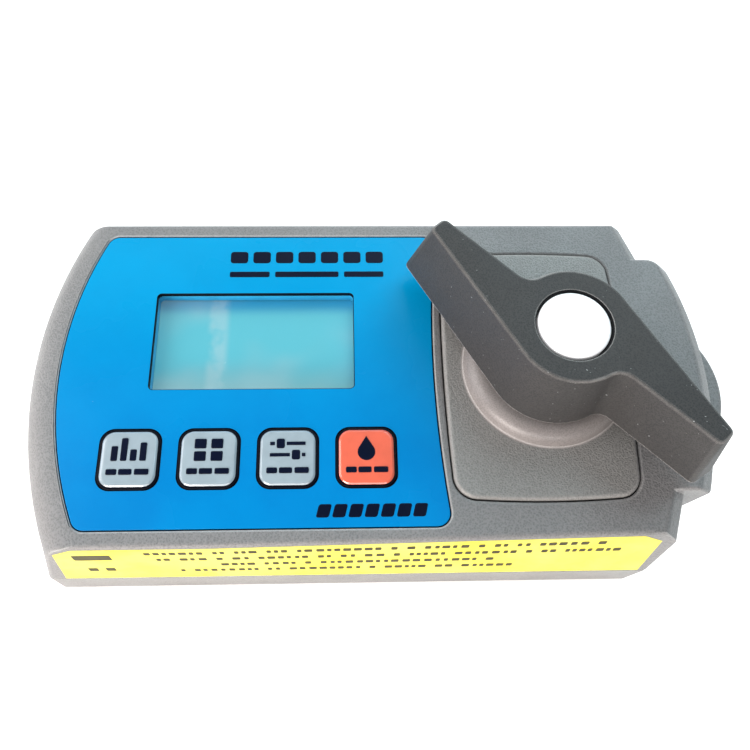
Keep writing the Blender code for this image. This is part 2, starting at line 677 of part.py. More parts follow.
def make_bottom_shell():
    levels = [(FLOOR_Z, BOTTOM_EDGE), (FLOOR_Z + BOTTOM_EDGE, 0.0), (SPLIT_Z - GAP, 0.0)]
    shell = lofted("bottom_shell", case_rings(levels), CASE_GREY)
    floor_top = FLOOR_Z + FLOOR_T
    inside = [(floor_top, WALL), (SPLIT_Z + BEYOND, WALL)]
    cut(shell, lofted("bottom_cavity", case_rings(inside), CASE_GREY))
    bay = rectangle(BAY_CENTRE, BAY_SIZE)
    join(shell, prism("battery_bay", bay, (floor_top - ROOT, BAY_TOP), CASE_GREY))
    room = (FLOOR_Z - BEYOND, BAY_TOP - BAY_ROOF)
    cut(shell, prism("battery_room", grown(bay, -BAY_WALL), room, CASE_GREY))
    slot_x = (TRAY_FRONT - 2 * WALL, BULGE_APEX + CHAMFER + BEYOND)
    slot_z = (TRAY[0] - GAP, SPLIT_Z)
    cut(shell, bar("tray_slot", slot_x, (-GUIDE_INNER, GUIDE_INNER), slot_z, CASE_GREY))
    for n, spot in enumerate(SCREWS, start=1):
        column = circle(spot, COLUMN_RADIUS, 12)
        heights = (floor_top - ROOT, SPLIT_Z - GAP)
        join(shell, prism(f"screw_column_{n}", column, heights, CASE_GREY))
        wide, slim = SCREW_HEAD[0] + SCREW_ROOM, SCREW_SHANK[0] + SCREW_ROOM
        profile = [(wide, FLOOR_Z - BEYOND), (wide, SCREW_SEAT), (slim, SCREW_SEAT)]
        profile.append((slim, SPLIT_Z + BEYOND))
        cut(shell, turned(f"screw_passage_{n}", spot, profile, CASE_GREY, steps=12))
    for n, spot in enumerate(FRAME_RESTS, start=1):
        heights = (floor_top - ROOT, BASE_PLATE[0] - GAP)
        pad = circle(spot, FRAME_REST_RADIUS, 8)
        join(shell, prism(f"frame_rest_{n}", pad, heights, CASE_GREY))


def screw_profile(head, shank):
    """A screw that points up: head is (radius, bottom, top) and shank (radius, top)."""
    radius, bottom, top = head
    return [(radius, bottom), (radius, top), (shank[0], top), shank]


def make_case_hardware():
    for n, spot in enumerate(SCREWS, start=1):
        turned(f"case_screw_{n}", spot, screw_profile(SCREW_HEAD, SCREW_SHANK), STEEL, steps=10)
    for n, spot in enumerate(FEET, start=1):
        profile = [(FOOT_RADIUS - FOOT_EDGE, 0.0), (FOOT_RADIUS, FOOT_EDGE)]
        profile.append((FOOT_RADIUS, FLOOR_Z - GAP))
        turned(f"foot_{n}", spot, profile, RUBBER, steps=16)
    label_slab("front_label", -LABEL_FILM, 0.0, 0.0)


# ---------------------------------------------------------------- display and keys


def make_overlay():
    heights = (TOP_Z - OVERLAY_T, TOP_Z)
    overlay = prism("keypad_overlay", overlay_outline(), heights, OVERLAY_BLUE)
    holes = {"window_hole": rectangle(WINDOW, WINDOW_SIZE, WINDOW_ROUND, 2)}
    for n, spot in enumerate(KEYS, start=1):
        holes[f"overlay_key_hole_{n}"] = rectangle(spot, KEY_HOLE, KEY_ROUND)
    for name, outline in holes.items():
        cut(overlay, prism(name, outline, past(heights), OVERLAY_BLUE))


def make_display():
    pane = rectangle(WINDOW, pane_size(WINDOW_LIP))
    prism("display_window", pane, (RECESS_Z - WINDOW_T, RECESS_Z), CLEAR)
    glass = rectangle(WINDOW, pane_size(DISPLAY_MARGIN))
    prism("display_panel", glass, (LCD_Z, LCD_Z + LCD_T), GLASS)
    prism("display_holder", glass, (BOARD[1] + GAP, LCD_Z - GAP), BLACK)


def make_board():
    board = prism("main_board", rectangle(BOARD_CENTRE, BOARD_SIZE), BOARD, BOARD_GREEN)
    through = (BOARD[0] - BEYOND, BOARD[1] + BEYOND)
    for n, spot in enumerate(STAKES, start=1):
        hole = circle(spot, STAKE_RADIUS + GAP, 8)
        cut(board, prism(f"stake_hole_{n}", hole, through, BOARD_GREEN))
    washer("buzzer", BUZZER, BUZZER_RADII, (BAY_TOP, BOARD[0] - GAP), BLACK, steps=16)


def make_keys():
    for n, (spot, axis) in enumerate(zip(KEYS, KEY_AXES), start=1):
        body = rectangle(spot, (SWITCH_SIDE, SWITCH_SIDE))
        switch = prism(f"key_switch_{n}", body, (BOARD[1] + GAP, SWITCH_TOP), BLACK)
        well = (SWITCH_TOP - WELL_DEPTH, SWITCH_TOP + BEYOND)
        cut(switch, prism(f"switch_well_{n}", circle(spot, STEM_RADIUS + GAP, 10), well, BLACK))
        stem = (SWITCH_TOP - STEM_SINKS, KEY_FLANGE[0] - GAP)
        prism(f"key_stem_{n}", circle(spot, STEM_RADIUS, 10), stem, INSULATOR, axis)
        face = rectangle(spot, KEY_CAP, KEY_ROUND)
        flange = grown(face, KEY_FLANGE_WIDER)
        rings = [(flange, KEY_FLANGE[0]), (flange, KEY_FLANGE[1]), (face, KEY_FLANGE[1])]
        rings += [(face, KEY_TOP - KEY_EDGE), (grown(face, -KEY_EDGE), KEY_TOP)]
        lofted(f"key_cap_{n}", rings, KEY_ORANGE if n == len(KEYS) else KEY_GREY, axis)


# ---------------------------------------------------------------- press


def make_press_cover():
    heights = (COVER_BOTTOM, COVER_TOP)
    cover = prism("press_cover", cover_outline(), heights, CASE_GREY, edge=COVER_EDGE)
    climb = [(COLLAR_FOOT, COVER_TOP - BEYOND), (COLLAR_FOOT, COVER_TOP)]
    steps = 4
    for n in range(1, steps):
        turn = math.pi / 2 * n / steps
        radius = COLLAR_FOOT - (COLLAR_FOOT - COLLAR_RIM) * math.sin(turn)
        climb.append((radius, COLLAR_TOP - (COLLAR_TOP - COVER_TOP) * math.cos(turn)))
    climb.append((COLLAR_RIM, COLLAR_TOP))
    join(cover, turned("cover_collar", PRESS, climb, CASE_GREY, steps=32))
    through = (COVER_BOTTOM - BEYOND, COLLAR_TOP + BEYOND)
    cut(cover, prism("cover_bore", circle(PRESS, COLLAR_BORE), through, CASE_GREY))


def make_press_frame():
    depth = (-FRAME_HALF, FRAME_HALF)
    base = bar("press_base", BASE_X, depth, BASE_PLATE, STEEL)
    width = (-BRIDGE_HALF_X, BRIDGE_HALF_X)
    bridge = bar("press_bridge", width, depth, BRIDGE, STEEL, edge=BRIDGE_EDGE)
    nut_hole = circle(PRESS, NUT_NECK + NUT_CLEAR, 16)
    cut(bridge, prism("nut_hole", nut_hole, past(BRIDGE), STEEL))
    for side, word in ((-1, "front"), (1, "rear")):
        spot = PRESS + Vector((0.0, side * PILLAR_Y))
        hole = circle(spot, PILLAR_STUD + PILLAR_FIT, 10)
        cut(base, prism(f"base_hole_{word}", hole, past(BASE_PLATE), STEEL))
        cut(bridge, prism(f"bridge_hole_{word}", hole, past(BRIDGE), STEEL))
        foot, head = BASE_PLATE[1] + GAP, BRIDGE[0] - GAP
        nut = (BRIDGE[1] + GAP, BRIDGE[1] + GAP + PILLAR_NUT_T)
        profile = [(PILLAR_STUD, BASE_PLATE[0] + GAP), (PILLAR_STUD, foot), (PILLAR_RADIUS, foot)]
        profile += [(PILLAR_RADIUS, head), (PILLAR_STUD, head), (PILLAR_STUD, nut[1])]
        turned(f"guide_pillar_{word}", spot, profile, STEEL, steps=12)
        washer(f"pillar_nut_{word}", spot, PILLAR_NUT, nut, STEEL, steps=6)
    bore = SPINDLE_RADIUS + GAP
    low, seat = BRIDGE[0] + GAP, BRIDGE[1] + GAP
    profile = [(NUT_NECK, low), (NUT_NECK, seat), (NUT_FLANGE, seat), (NUT_FLANGE, NUT_FLANGE_TOP)]
    profile += [(NUT_NECK, NUT_FLANGE_TOP), (NUT_NECK, NUT_TOP), (bore, NUT_TOP), (bore, low)]
    turned("spindle_nut", PRESS, profile, BRASS, bored=True)


def make_tray_guide():
    """A U-shaped guide for the tray, open to the right, and the electrode it frames."""
    back, front = GUIDE_X
    half = [(back, -GUIDE_OUTER), (front, -GUIDE_OUTER), (front, -GUIDE_INNER)]
    half.append((GUIDE_STOP, -GUIDE_INNER))
    outline = half + [(x, -y) for x, y in reversed(half)]
    points = [PRESS + Vector(corner) for corner in outline]
    guide = prism("tray_guide", points, (BASE_PLATE[1] + GAP, GUIDE_TOP), BLACK)
    notch = TAIL_HALF + 2 * GAP
    notch_x = (back - BEYOND, GUIDE_STOP + BEYOND)
    notch_z = (BASE_PLATE[1], TAIL[1] + 2 * GAP)
    cut(guide, bar("lead_notch", notch_x, (-notch, notch), notch_z, BLACK))
    radii, heights = ELECTRODE_INSULATOR_RADII, ELECTRODE_INSULATOR
    washer("electrode_insulator", PRESS, radii, heights, INSULATOR)
    plate = washer("lower_electrode", PRESS, ELECTRODE_RADII, ELECTRODE, BRASS)
    tail_x = (TAIL_END, BEYOND - ELECTRODE_RADII[1])
    join(plate, bar("electrode_tail", tail_x, (-TAIL_HALF, TAIL_HALF), TAIL, BRASS))
    knots = [(PRESS_X + x, 0.0, z) for x, z in LEAD_KNOTS]
    wire("electrode_lead", knots, LEAD_RADIUS, BLACK)
    probe = circle(PROBE, PROBE_RADIUS, 10)
    prism("temperature_probe", probe, (BASE_PLATE[1] + GAP, PROBE_TOP), BLACK)


def make_plunger():
    x, y = CARRIER_HALF
    carrier = bar("plunger_carrier", (-x, x), (-y, y), CARRIER, STEEL, PLUNGER)
    for side, word in ((-1, "front"), (1, "rear")):
        hole = circle(PRESS + Vector((0.0, side * PILLAR_Y)), GUIDE_HOLE, 12)
        cut(carrier, prism(f"carrier_hole_{word}", hole, past(CARRIER), STEEL))
    cut(carrier, prism("spigot_hole", circle(PRESS, SPIGOT_HOLE, 12), past(CARRIER), STEEL))
    radii, heights = PLUNGER_INSULATOR_RADII, PLUNGER_INSULATOR
    washer("plunger_insulator", PRESS, radii, heights, INSULATOR, PLUNGER)
    crusher = [(CRUSHER_RADIUS - CRUSHER_EDGE, CRUSHER[0])]
    crusher += [(CRUSHER_RADIUS, CRUSHER[0] + CRUSHER_EDGE), (CRUSHER_RADIUS, CRUSHER[1])]
    turned("upper_electrode", PRESS, crusher, STEEL, PLUNGER)


def make_handle():
    outline = handle_outline(0.0)
    rings = [(handle_outline(HANDLE_FLARE), HANDLE_BOTTOM), (outline, HANDLE_TOP - HANDLE_EDGE)]
    rings.append((grown(outline, -HANDLE_EDGE), HANDLE_TOP))
    handle = lofted("press_handle", rings, HANDLE_GREY, HANDLE)
    socket, roof = SPINDLE_RADIUS + GAP, SPINDLE_TOP + GAP
    passage, well = HANDLE_SCREW_HOLE[0], CAP_RADIUS + GAP
    bore = [(socket, HANDLE_BOTTOM - BEYOND), (socket, roof), (passage, roof)]
    bore += [(passage, CAP_WELL), (well, CAP_WELL), (well, HANDLE_TOP + BEYOND)]
    cut(handle, turned("handle_socket", PRESS, bore, HANDLE_GREY))
    spindle = [(SPIGOT_RADIUS, SPINDLE_END), (SPIGOT_RADIUS, SPINDLE_SHOULDER)]
    spindle += [(SPINDLE_RADIUS, SPINDLE_SHOULDER), (SPINDLE_RADIUS, SPINDLE_TOP)]
    spindle += [(HANDLE_SCREW_HOLE[0], SPINDLE_TOP), HANDLE_SCREW_HOLE]
    turned("press_spindle", PRESS, spindle, STEEL, HANDLE)
    washer("spindle_retainer", PRESS, RETAINER_RADII, RETAINER, STEEL, HANDLE, steps=16)
    turned("handle_screw", PRESS, HANDLE_SCREW, STEEL, HANDLE, steps=16)
    cap = [(CAP_RADIUS, CAP_BOTTOM), (CAP_RADIUS, HANDLE_TOP)]
    cap.append((CAP_RADIUS - CAP_EDGE, HANDLE_TOP + CAP_DOME))
    turned("handle_cap", PRESS, cap, CAP_WHITE, HANDLE, steps=32)


def grip_outline():
    """A round front that ends on an arc just clear of the case's bulge."""
    wall = BULGE_RADIUS + CHAMFER + GRIP_CLEAR
    bulge = BULGE_APEX - BULGE_RADIUS
    turn = math.asin(GRIP_HALF / wall)
    rise = GRIP_APEX - bulge - wall * math.cos(turn)
    radius = (GRIP_HALF**2 + rise**2) / (2 * rise)
    swing = math.asin(GRIP_HALF / radius)
    front = arc((GRIP_APEX - radius, 0.0), radius, -swing, swing, 14)
    back = arc((bulge, 0.0), wall, turn, -turn, 6)
    return [PRESS + p for p in front + back[1:-1]]


def make_tray():
    plate, half = (TRAY_BACK, TRAY_FRONT), (-TRAY_HALF, TRAY_HALF)
    tray = bar("sample_tray", plate, half, TRAY, STEEL, TRAY_SLIDE)
    tongue = (TRAY_FRONT - BEYOND, TONGUE_END)
    join(tray, bar("tray_tongue", tongue, (-TONGUE_HALF, TONGUE_HALF), TRAY, STEEL))
    dish = [(DISH_RADIUS - DISH_DRAFT, TRAY[1] - DISH_DEPTH), (DISH_RADIUS, TRAY[1] + BEYOND)]
    cut(tray, turned("tray_dish", PRESS, dish, STEEL, steps=32))
    heights = (GRIP_BOTTOM, GRIP_TOP)
    grip = prism("tray_grip", grip_outline(), heights, CASE_GREY, TRAY_SLIDE, edge=GRIP_EDGE)
    pocket, sleeve = TONGUE_HALF + GAP, (TRAY[0] - GAP, TRAY[1] + GAP)
    pocket_x = (TRAY_FRONT, TONGUE_END + GAP)
    cut(grip, bar("grip_pocket", pocket_x, (-pocket, pocket), sleeve, CASE_GREY))
    spot = PRESS + Vector((GRIP_SCREW, 0.0))
    wide, slim = GRIP_SCREW_HEAD[0] + GAP, GRIP_SCREW_SHANK[0] + GAP
    passage = [(wide, GRIP_BOTTOM - BEYOND), (wide, GRIP_SCREW_SEAT), (slim, GRIP_SCREW_SEAT)]
    passage.append((slim, TRAY[0]))
    cut(grip, turned("grip_screw_passage", spot, passage, CASE_GREY, steps=12))
    hole = (TRAY[0] - BEYOND, GRIP_SCREW_SHANK[1] + GAP)
    cut(tray, prism("tray_screw_hole", circle(spot, slim, 10), hole, STEEL))
    screw = screw_profile(GRIP_SCREW_HEAD, GRIP_SCREW_SHANK)
    turned("grip_screw", spot, screw, STEEL, TRAY_SLIDE, steps=10)


# ---------------------------------------------------------------- power


def cell_profile(way):
    """A cell along Y whose positive end points towards way (-1 or 1)."""
    half = CELL_LENGTH / 2
    shoulder = half - NUB[1]
    profile = [(CELL_RADIUS - CELL_EDGE, -half), (CELL_RADIUS, CELL_EDGE - half)]
    profile += [(CELL_RADIUS, shoulder - CELL_EDGE), (CELL_RADIUS - CELL_EDGE, shoulder)]
    profile += [(NUB[0], shoulder), (NUB[0], half)]
    return [(radius, way * y) for radius, y in profile]


def make_power():
    for n, spot in enumerate(CELLS, start=1):
        way = 1 if n % 2 else -1
        lying(f"battery_{n}", spot.x, CELL_Z, cell_profile(way), CELL_WRAP)
    half = CELL_LENGTH / 2
    inner, outer = half + CONTACT_GAP, half + CONTACT_GAP + CONTACT_T
    for side, word in ((-1, "front"), (1, "rear")):
        depth = tuple(sorted((side * inner, side * outer)))
        plate = bar(f"battery_contact_{word}", CONTACT_X, depth, CONTACT_Z, STEEL)
        for n, spot in enumerate(CELLS, start=1):
            spring = [(SPRING_RADII[0], side * (inner + CONTACT_T / 2))]
            spring.append((SPRING_RADII[1], side * (half + GAP)))
            join(plate, lying(f"spring_{word}_{n}", spot.x, CELL_Z, spring, STEEL, 8))
    door = grown(rectangle(BAY_CENTRE, BAY_SIZE), -BAY_WALL - GAP)
    prism("battery_door", door, (FLOOR_Z, DOOR_TOP), CASE_GREY, DOOR_HINGE)


make_top_shell()
make_bottom_shell()
make_case_hardware()
make_overlay()
make_display()
make_board()
make_keys()
make_press_cover()
make_press_frame()
make_tray_guide()
make_plunger()
make_handle()
make_tray()
make_power()
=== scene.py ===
"""The look of the hand-press grain moisture meter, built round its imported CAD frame."""

import json
import math
import random

import bmesh
import bpy
from mathutils import Matrix, Vector, geometry


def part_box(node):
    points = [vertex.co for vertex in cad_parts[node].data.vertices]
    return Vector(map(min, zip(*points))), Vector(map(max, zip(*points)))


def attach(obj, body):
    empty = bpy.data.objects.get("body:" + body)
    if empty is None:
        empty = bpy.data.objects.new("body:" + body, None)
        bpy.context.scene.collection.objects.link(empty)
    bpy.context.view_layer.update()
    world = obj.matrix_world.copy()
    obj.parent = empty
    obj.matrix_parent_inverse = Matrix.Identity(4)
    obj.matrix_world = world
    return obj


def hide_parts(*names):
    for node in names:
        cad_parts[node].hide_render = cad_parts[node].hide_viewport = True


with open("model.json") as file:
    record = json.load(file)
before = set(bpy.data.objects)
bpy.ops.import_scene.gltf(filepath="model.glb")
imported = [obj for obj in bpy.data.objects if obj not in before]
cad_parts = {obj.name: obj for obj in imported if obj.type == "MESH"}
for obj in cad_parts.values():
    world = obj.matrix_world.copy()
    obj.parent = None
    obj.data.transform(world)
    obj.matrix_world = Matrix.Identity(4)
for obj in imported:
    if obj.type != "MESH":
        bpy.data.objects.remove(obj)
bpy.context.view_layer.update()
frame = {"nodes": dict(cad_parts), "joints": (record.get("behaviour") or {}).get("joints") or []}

# Dimensions in metres, the same as in the CAD; plan positions are measured from the press axis
JOINTS = {joint["name"]: joint for joint in frame["joints"]}
PRESS_X = JOINTS["press_handle_turn"]["pos_m"][0]
PRESS = Vector((PRESS_X, 0.0))
TOP_Z, SPLIT_Z, CEILING_Z, WALL, GAP = 0.0380, 0.0180, 0.0348, 0.0022, 0.0003
HALF_DEPTH, LEAN = 0.0417, math.radians(11.3)
END_ROUND, CHAMFER, CHAMFER_SOFT = 0.0068, 0.0041, 0.0007
END_APEX, END_RADIUS, END_CORNER, END_CORNER_GROWTH = -0.1177, 0.0920, 0.0012, 0.004
END_SPREAD, END_FLATTEN = 0.0925, 0.92
FRONT_TAPER, TAPER_START, TAPER_STEPS = 0.0017, -0.0800, 24
SHOULDER_NEAR, SHOULDER_FAR = 0.0223, 0.0263
FRONT_STEP, REAR_STEP = (0.0303, 0.0013), (0.0312, 0.0035)
BULGE_APEX, BULGE_RADIUS = 0.0378, 0.0910
ROUND_DEPTH = END_ROUND * (1 - math.sin(LEAN))
OVERLAY_T, OVERLAY_HALF, OVERLAY_CORNER = 0.0008, 0.0378, 0.0030
OVERLAY_LEFT, OVERLAY_RIGHT = -0.1163, -0.0272
OVERLAY_END_RADIUS, OVERLAY_PRESS_RADIUS = 0.0910, 0.3000
RECESS_Z = TOP_Z - OVERLAY_T - GAP
WINDOW = PRESS + Vector((-0.07065, 0.00825))
WINDOW_SIZE, WINDOW_ROUND = (0.0487, 0.0257), 0.0010
KEYS = [PRESS + Vector((-0.0977 + 0.0180 * n, -0.02175)) for n in range(4)]
KEY_HOLE, KEY_CAP, KEY_ROUND, KEY_TOP = (0.0140, 0.01435), (0.0128, 0.01315), 0.0028, 0.0387
KEY_FLANGE, KEY_FLANGE_WIDER = (0.0335, 0.0343), 0.0012
COVER_X, COVER_HALF, COVER_BOW, COVER_CORNER = (-0.0236, 0.0187), 0.0314, 0.0010, 0.0045
COVER_BOTTOM, COVER_TOP = 0.0362, 0.0386
COVER_HOLE_CENTRE, COVER_HOLE = PRESS + Vector((-0.0025, 0.0)), (0.0370, 0.0580)
COLLAR_FOOT, COLLAR_RIM, COLLAR_TOP, COLLAR_BORE = 0.0198, 0.0162, 0.0422, 0.0073
HANDLE_BOTTOM, HANDLE_TOP, HUB_RADIUS, HANDLE_FLARE = 0.0427, 0.0611, 0.01325, 0.0025
ARM_OUTER, ARM_INNER = math.radians(-60.0), math.radians(-43.8)
ARM_INNER_OFFSET, ARM_INNER_FLARE, ARM_FILLET = 0.00156, 0.4, 0.0040
TIP_REACH, TIP_SLANT, TIP_SLANT_GROWTH = 0.0356, 0.0005, 0.45
TIP_FLARE, TIP_ROUND = 1.7, 0.0015
CAP_RADIUS, CAP_BOTTOM, CAP_WELL = 0.0078, 0.0588, 0.0560
SOCKET_RADIUS, SOCKET_TOP, SCREW_PASSAGE = 0.0049, 0.0523, 0.0020
LABEL_LEFT, LABEL_RIGHT, LABEL_SPREAD, LABEL_CLIP = -0.1135, 0.0233, 0.0025, (0.0048, 0.0026)
LABEL_TOP, LABEL_BOTTOM = TOP_Z - 0.0012, SPLIT_Z + 0.0004
GRIP_APEX, GRIP_HALF, GRIP_BOTTOM, GRIP_TOP, GRIP_CLEAR = 0.0508, 0.0195, 0.0100, 0.0245, 0.0006

# What the skins add to the CAD: rounded edges, reveals, print and resin
CASE_EDGE, CASE_LIP, OVERLAY_RIM, COVER_RIM, OPENING_ROUND = 0.0009, 0.0004, 0.00035, 0.0007, 0.0030
OVERLAY_EDGE, KEY_HOLE_ROUNDER, COVER_EDGE = 0.00018, 0.0004, 0.0009
COLLAR_BLEND, COLLAR_LIP, COLLAR_BORE_EASE, COLLAR_START = 0.0007, 0.0008, 0.0003, 0.26
HANDLE_FOOT_EDGE, HANDLE_EDGE, CAP_WELL_EASE = 0.0004, 0.0006, 0.0003
CAP_EDGE, CAP_STAND = 0.0007, 0.0001
KEY_RIM_WIDE, KEY_RIM_EASE, KEY_DARK, KEY_SKIRT, KEY_CROWN = 0.00055, 0.0001, 0.00066, 0.03745, 0.0001
KEY_RESIN_FOOT = 0.0002
KEY_RESIN = ((0.00002, 0.00022), (0.00030, 0.00047), (0.00045, 0.00055), (0.0008, 0.00059), (0.0013, 0.0006))
GRIP_EDGE, GRIP_FOOT_EDGE = 0.0015, 0.0005
LABEL_BACK, LABEL_FACE, LABEL_COLUMNS = -0.00004, 0.00006, 40
INK_ROOT, INK_STAND, LABEL_INK_STAND = -0.00002, 0.00003, 0.00009
# Title rows: (distance behind the axis, block height, gap between blocks, relative block widths)
TITLE_X = (WINDOW.x - 0.0068, WINDOW.x + 0.0322)
TITLE_ROWS = ((0.0317, 0.0034, 0.0013, (1,) * 7), (0.0267, 0.0016, 0.0014, (5, 8, 5)))
TYPE_START = (-0.0538, -0.0341)
TYPE_PITCH, TYPE_SIZE, TYPE_SLANT = 0.0036, (0.0029, 0.0030), 0.25
PICTURE = 1.35  # scales the pictures on the keys


# ---------------------------------------------------------------- plan outlines


def heading(angle):
    """The unit vector at an angle from +X."""
    return Vector((math.cos(angle), math.sin(angle)))


def arc(centre, radius, start, end, steps):
    """Points along an arc, both ends included."""
    turns = [start + (end - start) * n / steps for n in range(steps + 1)]
    return [Vector(centre) + radius * heading(turn) for turn in turns]


def circle(centre, radius, steps=96):
    return arc(centre, radius, 0.0, 2 * math.pi, steps)[:-1]


def rounded(corners, steps=6):
    """An outline of (corner, radius) pairs with each corner turned into an arc."""
    points = []
    for n, (here, radius) in enumerate(corners):
        if radius == 0:
            points.append(here)
            continue
        before = (corners[n - 1][0] - here).normalized()
        after = (corners[(n + 1) % len(corners)][0] - here).normalized()
        half = before.angle(after) / 2
        middle = here + (before + after).normalized() * radius / math.sin(half)
        first = here + before * radius / math.tan(half) - middle
        last = here + after * radius / math.tan(half) - middle
        start = math.atan2(first.y, first.x)
        sweep = (math.atan2(last.y, last.x) - start + math.pi) % (2 * math.pi) - math.pi
        points += arc(middle, radius, start, start + sweep, steps)
    return points


def rectangle(centre, size, radius=0.0, steps=8):
    signs = ((-1, -1), (1, -1), (1, 1), (-1, 1))
    corners = [centre + Vector((a * size[0] / 2, b * size[1] / 2)) for a, b in signs]
    return rounded([(corner, radius) for corner in corners], steps)


def grown(points, distance):
    """An outline moved outwards by a distance, or inwards when it is negative."""
    moved = []
    for n, here in enumerate(points):
        along = (here - points[n - 1]).normalized()
        onward = (points[(n + 1) % len(points)] - here).normalized()
        normal, next_normal = Vector((along.y, -along.x)), Vector((onward.y, -onward.x))
        middle = (normal + next_normal).normalized()
        moved.append(here + middle * distance / middle.dot(normal))
    return moved


def divided(points, longest):
    """An outline with its long edges cut into pieces."""
    dense = []
    for n, here in enumerate(points):
        onward = points[(n + 1) % len(points)]
        pieces = max(1, math.ceil((onward - here).length / longest))
        dense += [here.lerp(onward, k / pieces) for k in range(pieces)]
    return dense


def end_corner(arc_centre, arc_radius, side_y, corner_radius, side):
    """The centre of the round between an end's arc and a side, and the angle where it meets the arc."""
    reach = arc_radius - corner_radius
    drop = abs(side_y) - corner_radius
    x = arc_centre + side * math.sqrt(reach**2 - drop**2)
    y = math.copysign(drop, side_y)
    return Vector((x, y)), math.atan2(y, x - arc_centre)


def chamfer_reach(depth):
    """How far the right end's chamfer has come out at a depth, softened at its foot."""
    if abs(depth - CHAMFER) < CHAMFER_SOFT:
        return CHAMFER - (CHAMFER + CHAMFER_SOFT - depth) ** 2 / (4 * CHAMFER_SOFT)
    return min(depth, CHAMFER)


def shoulder_x(y, chamfer):
    """Where the shoulder's line, moved out by the chamfer, crosses a distance from the axis."""
    run = Vector((SHOULDER_FAR - SHOULDER_NEAR, HALF_DEPTH - FRONT_STEP[0])).normalized()
    return SHOULDER_NEAR + (chamfer + (HALF_DEPTH - y) * run.x) / run.y


def front_taper(depth):
    """How far the front face has moved in at the right end, at a depth."""
    return FRONT_TAPER * (1 - depth / (TOP_Z - SPLIT_Z))


def case_side(end, bulge, half, taper, step, depth, inset):
    """One long side, from the left end's arc past the shoulder to the right end's arc."""
    chamfer = chamfer_reach(depth) - inset
    round_off = END_CORNER + depth * END_CORNER_GROWTH
    corner, joins = end_corner(*end, -half, round_off, -1)
    near = Vector((shoulder_x(half - taper, chamfer), taper - half))
    far = Vector((shoulder_x(step[0] - inset, chamfer), inset - step[0]))
    knee, meets = end_corner(*bulge, far.y, step[1], 1)
    bend = Vector((TAPER_START, -half))
    points = arc(corner, round_off, joins, -math.pi / 2, 8)
    points += [bend.lerp(near, n / TAPER_STEPS) for n in range(TAPER_STEPS + 1)]
    points.append(far)
    points += arc(knee, step[1], -math.pi / 2, meets, 8)
    return points, joins, meets


def case_outline(z, inset):
    """The case's plan outline at a height, with its walls moved in by inset."""
    depth = TOP_Z - z
    curved = END_ROUND * math.cos(LEAN) + (depth - ROUND_DEPTH) * math.tan(LEAN)
    if depth < ROUND_DEPTH:
        curved = math.sqrt(END_ROUND**2 - (END_ROUND - depth) ** 2)
    half = HALF_DEPTH + depth * math.tan(LEAN) - inset
    end_x = END_APEX + END_RADIUS + (END_FLATTEN - END_SPREAD) * depth
    end = (end_x, END_RADIUS + END_FLATTEN * depth + curved - inset)
    bulge = (BULGE_APEX - BULGE_RADIUS, BULGE_RADIUS + chamfer_reach(depth) - inset)
    taper = front_taper(depth)
    front, joins, front_meets = case_side(end, bulge, half, taper, FRONT_STEP, depth, inset)
    mirrored, _, rear_meets = case_side(end, bulge, half, 0.0, REAR_STEP, depth, inset)
    right = arc((bulge[0], 0.0), bulge[1], front_meets, -rear_meets, 24)[1:-1]
    rear = [Vector((p.x, -p.y)) for p in reversed(mirrored)]
    left = arc((end[0], 0.0), end[1], -joins, 2 * math.pi + joins, 40)[1:-1]
    return [PRESS + p for p in front + right + rear + left]


def overlay_outline():
    """The keypad film: two bowed ends joined by straight sides, with rounded corners."""
    left = PRESS_X + OVERLAY_LEFT + OVERLAY_END_RADIUS
    right = PRESS_X + OVERLAY_RIGHT - OVERLAY_PRESS_RADIUS
    left_turn = math.asin(OVERLAY_HALF / OVERLAY_END_RADIUS)
    right_turn = math.asin(OVERLAY_HALF / OVERLAY_PRESS_RADIUS)
    near = arc((left, 0.0), OVERLAY_END_RADIUS, math.pi - left_turn, math.pi + left_turn, 24)
    mirrored = arc((right, 0.0), OVERLAY_PRESS_RADIUS, -right_turn, right_turn, 16)
    far = [Vector((2 * (PRESS_X + OVERLAY_RIGHT) - p.x, p.y)) for p in mirrored]
    corners = []
    for run in (near, far):
        corners += [(p, OVERLAY_CORNER if p in (run[0], run[-1]) else 0) for p in run]
    return rounded(corners, 8)


def cover_outline():
    """The press cover: a rounded rectangle with sides that bow out."""
    half_x = (COVER_X[1] - COVER_X[0]) / 2
    middle = PRESS + Vector(((COVER_X[1] + COVER_X[0]) / 2, 0.0))
    plain = divided(rectangle(middle, (2 * half_x, 2 * COVER_HALF), COVER_CORNER), 0.004)
    bowed = []
    for p in plain:
        x, y = (p.x - middle.x) / half_x, p.y / COVER_HALF
        shift = Vector((x * (1 - y * y), y * (1 - x * x)))
        bowed.append(p + COVER_BOW * shift)
    return bowed


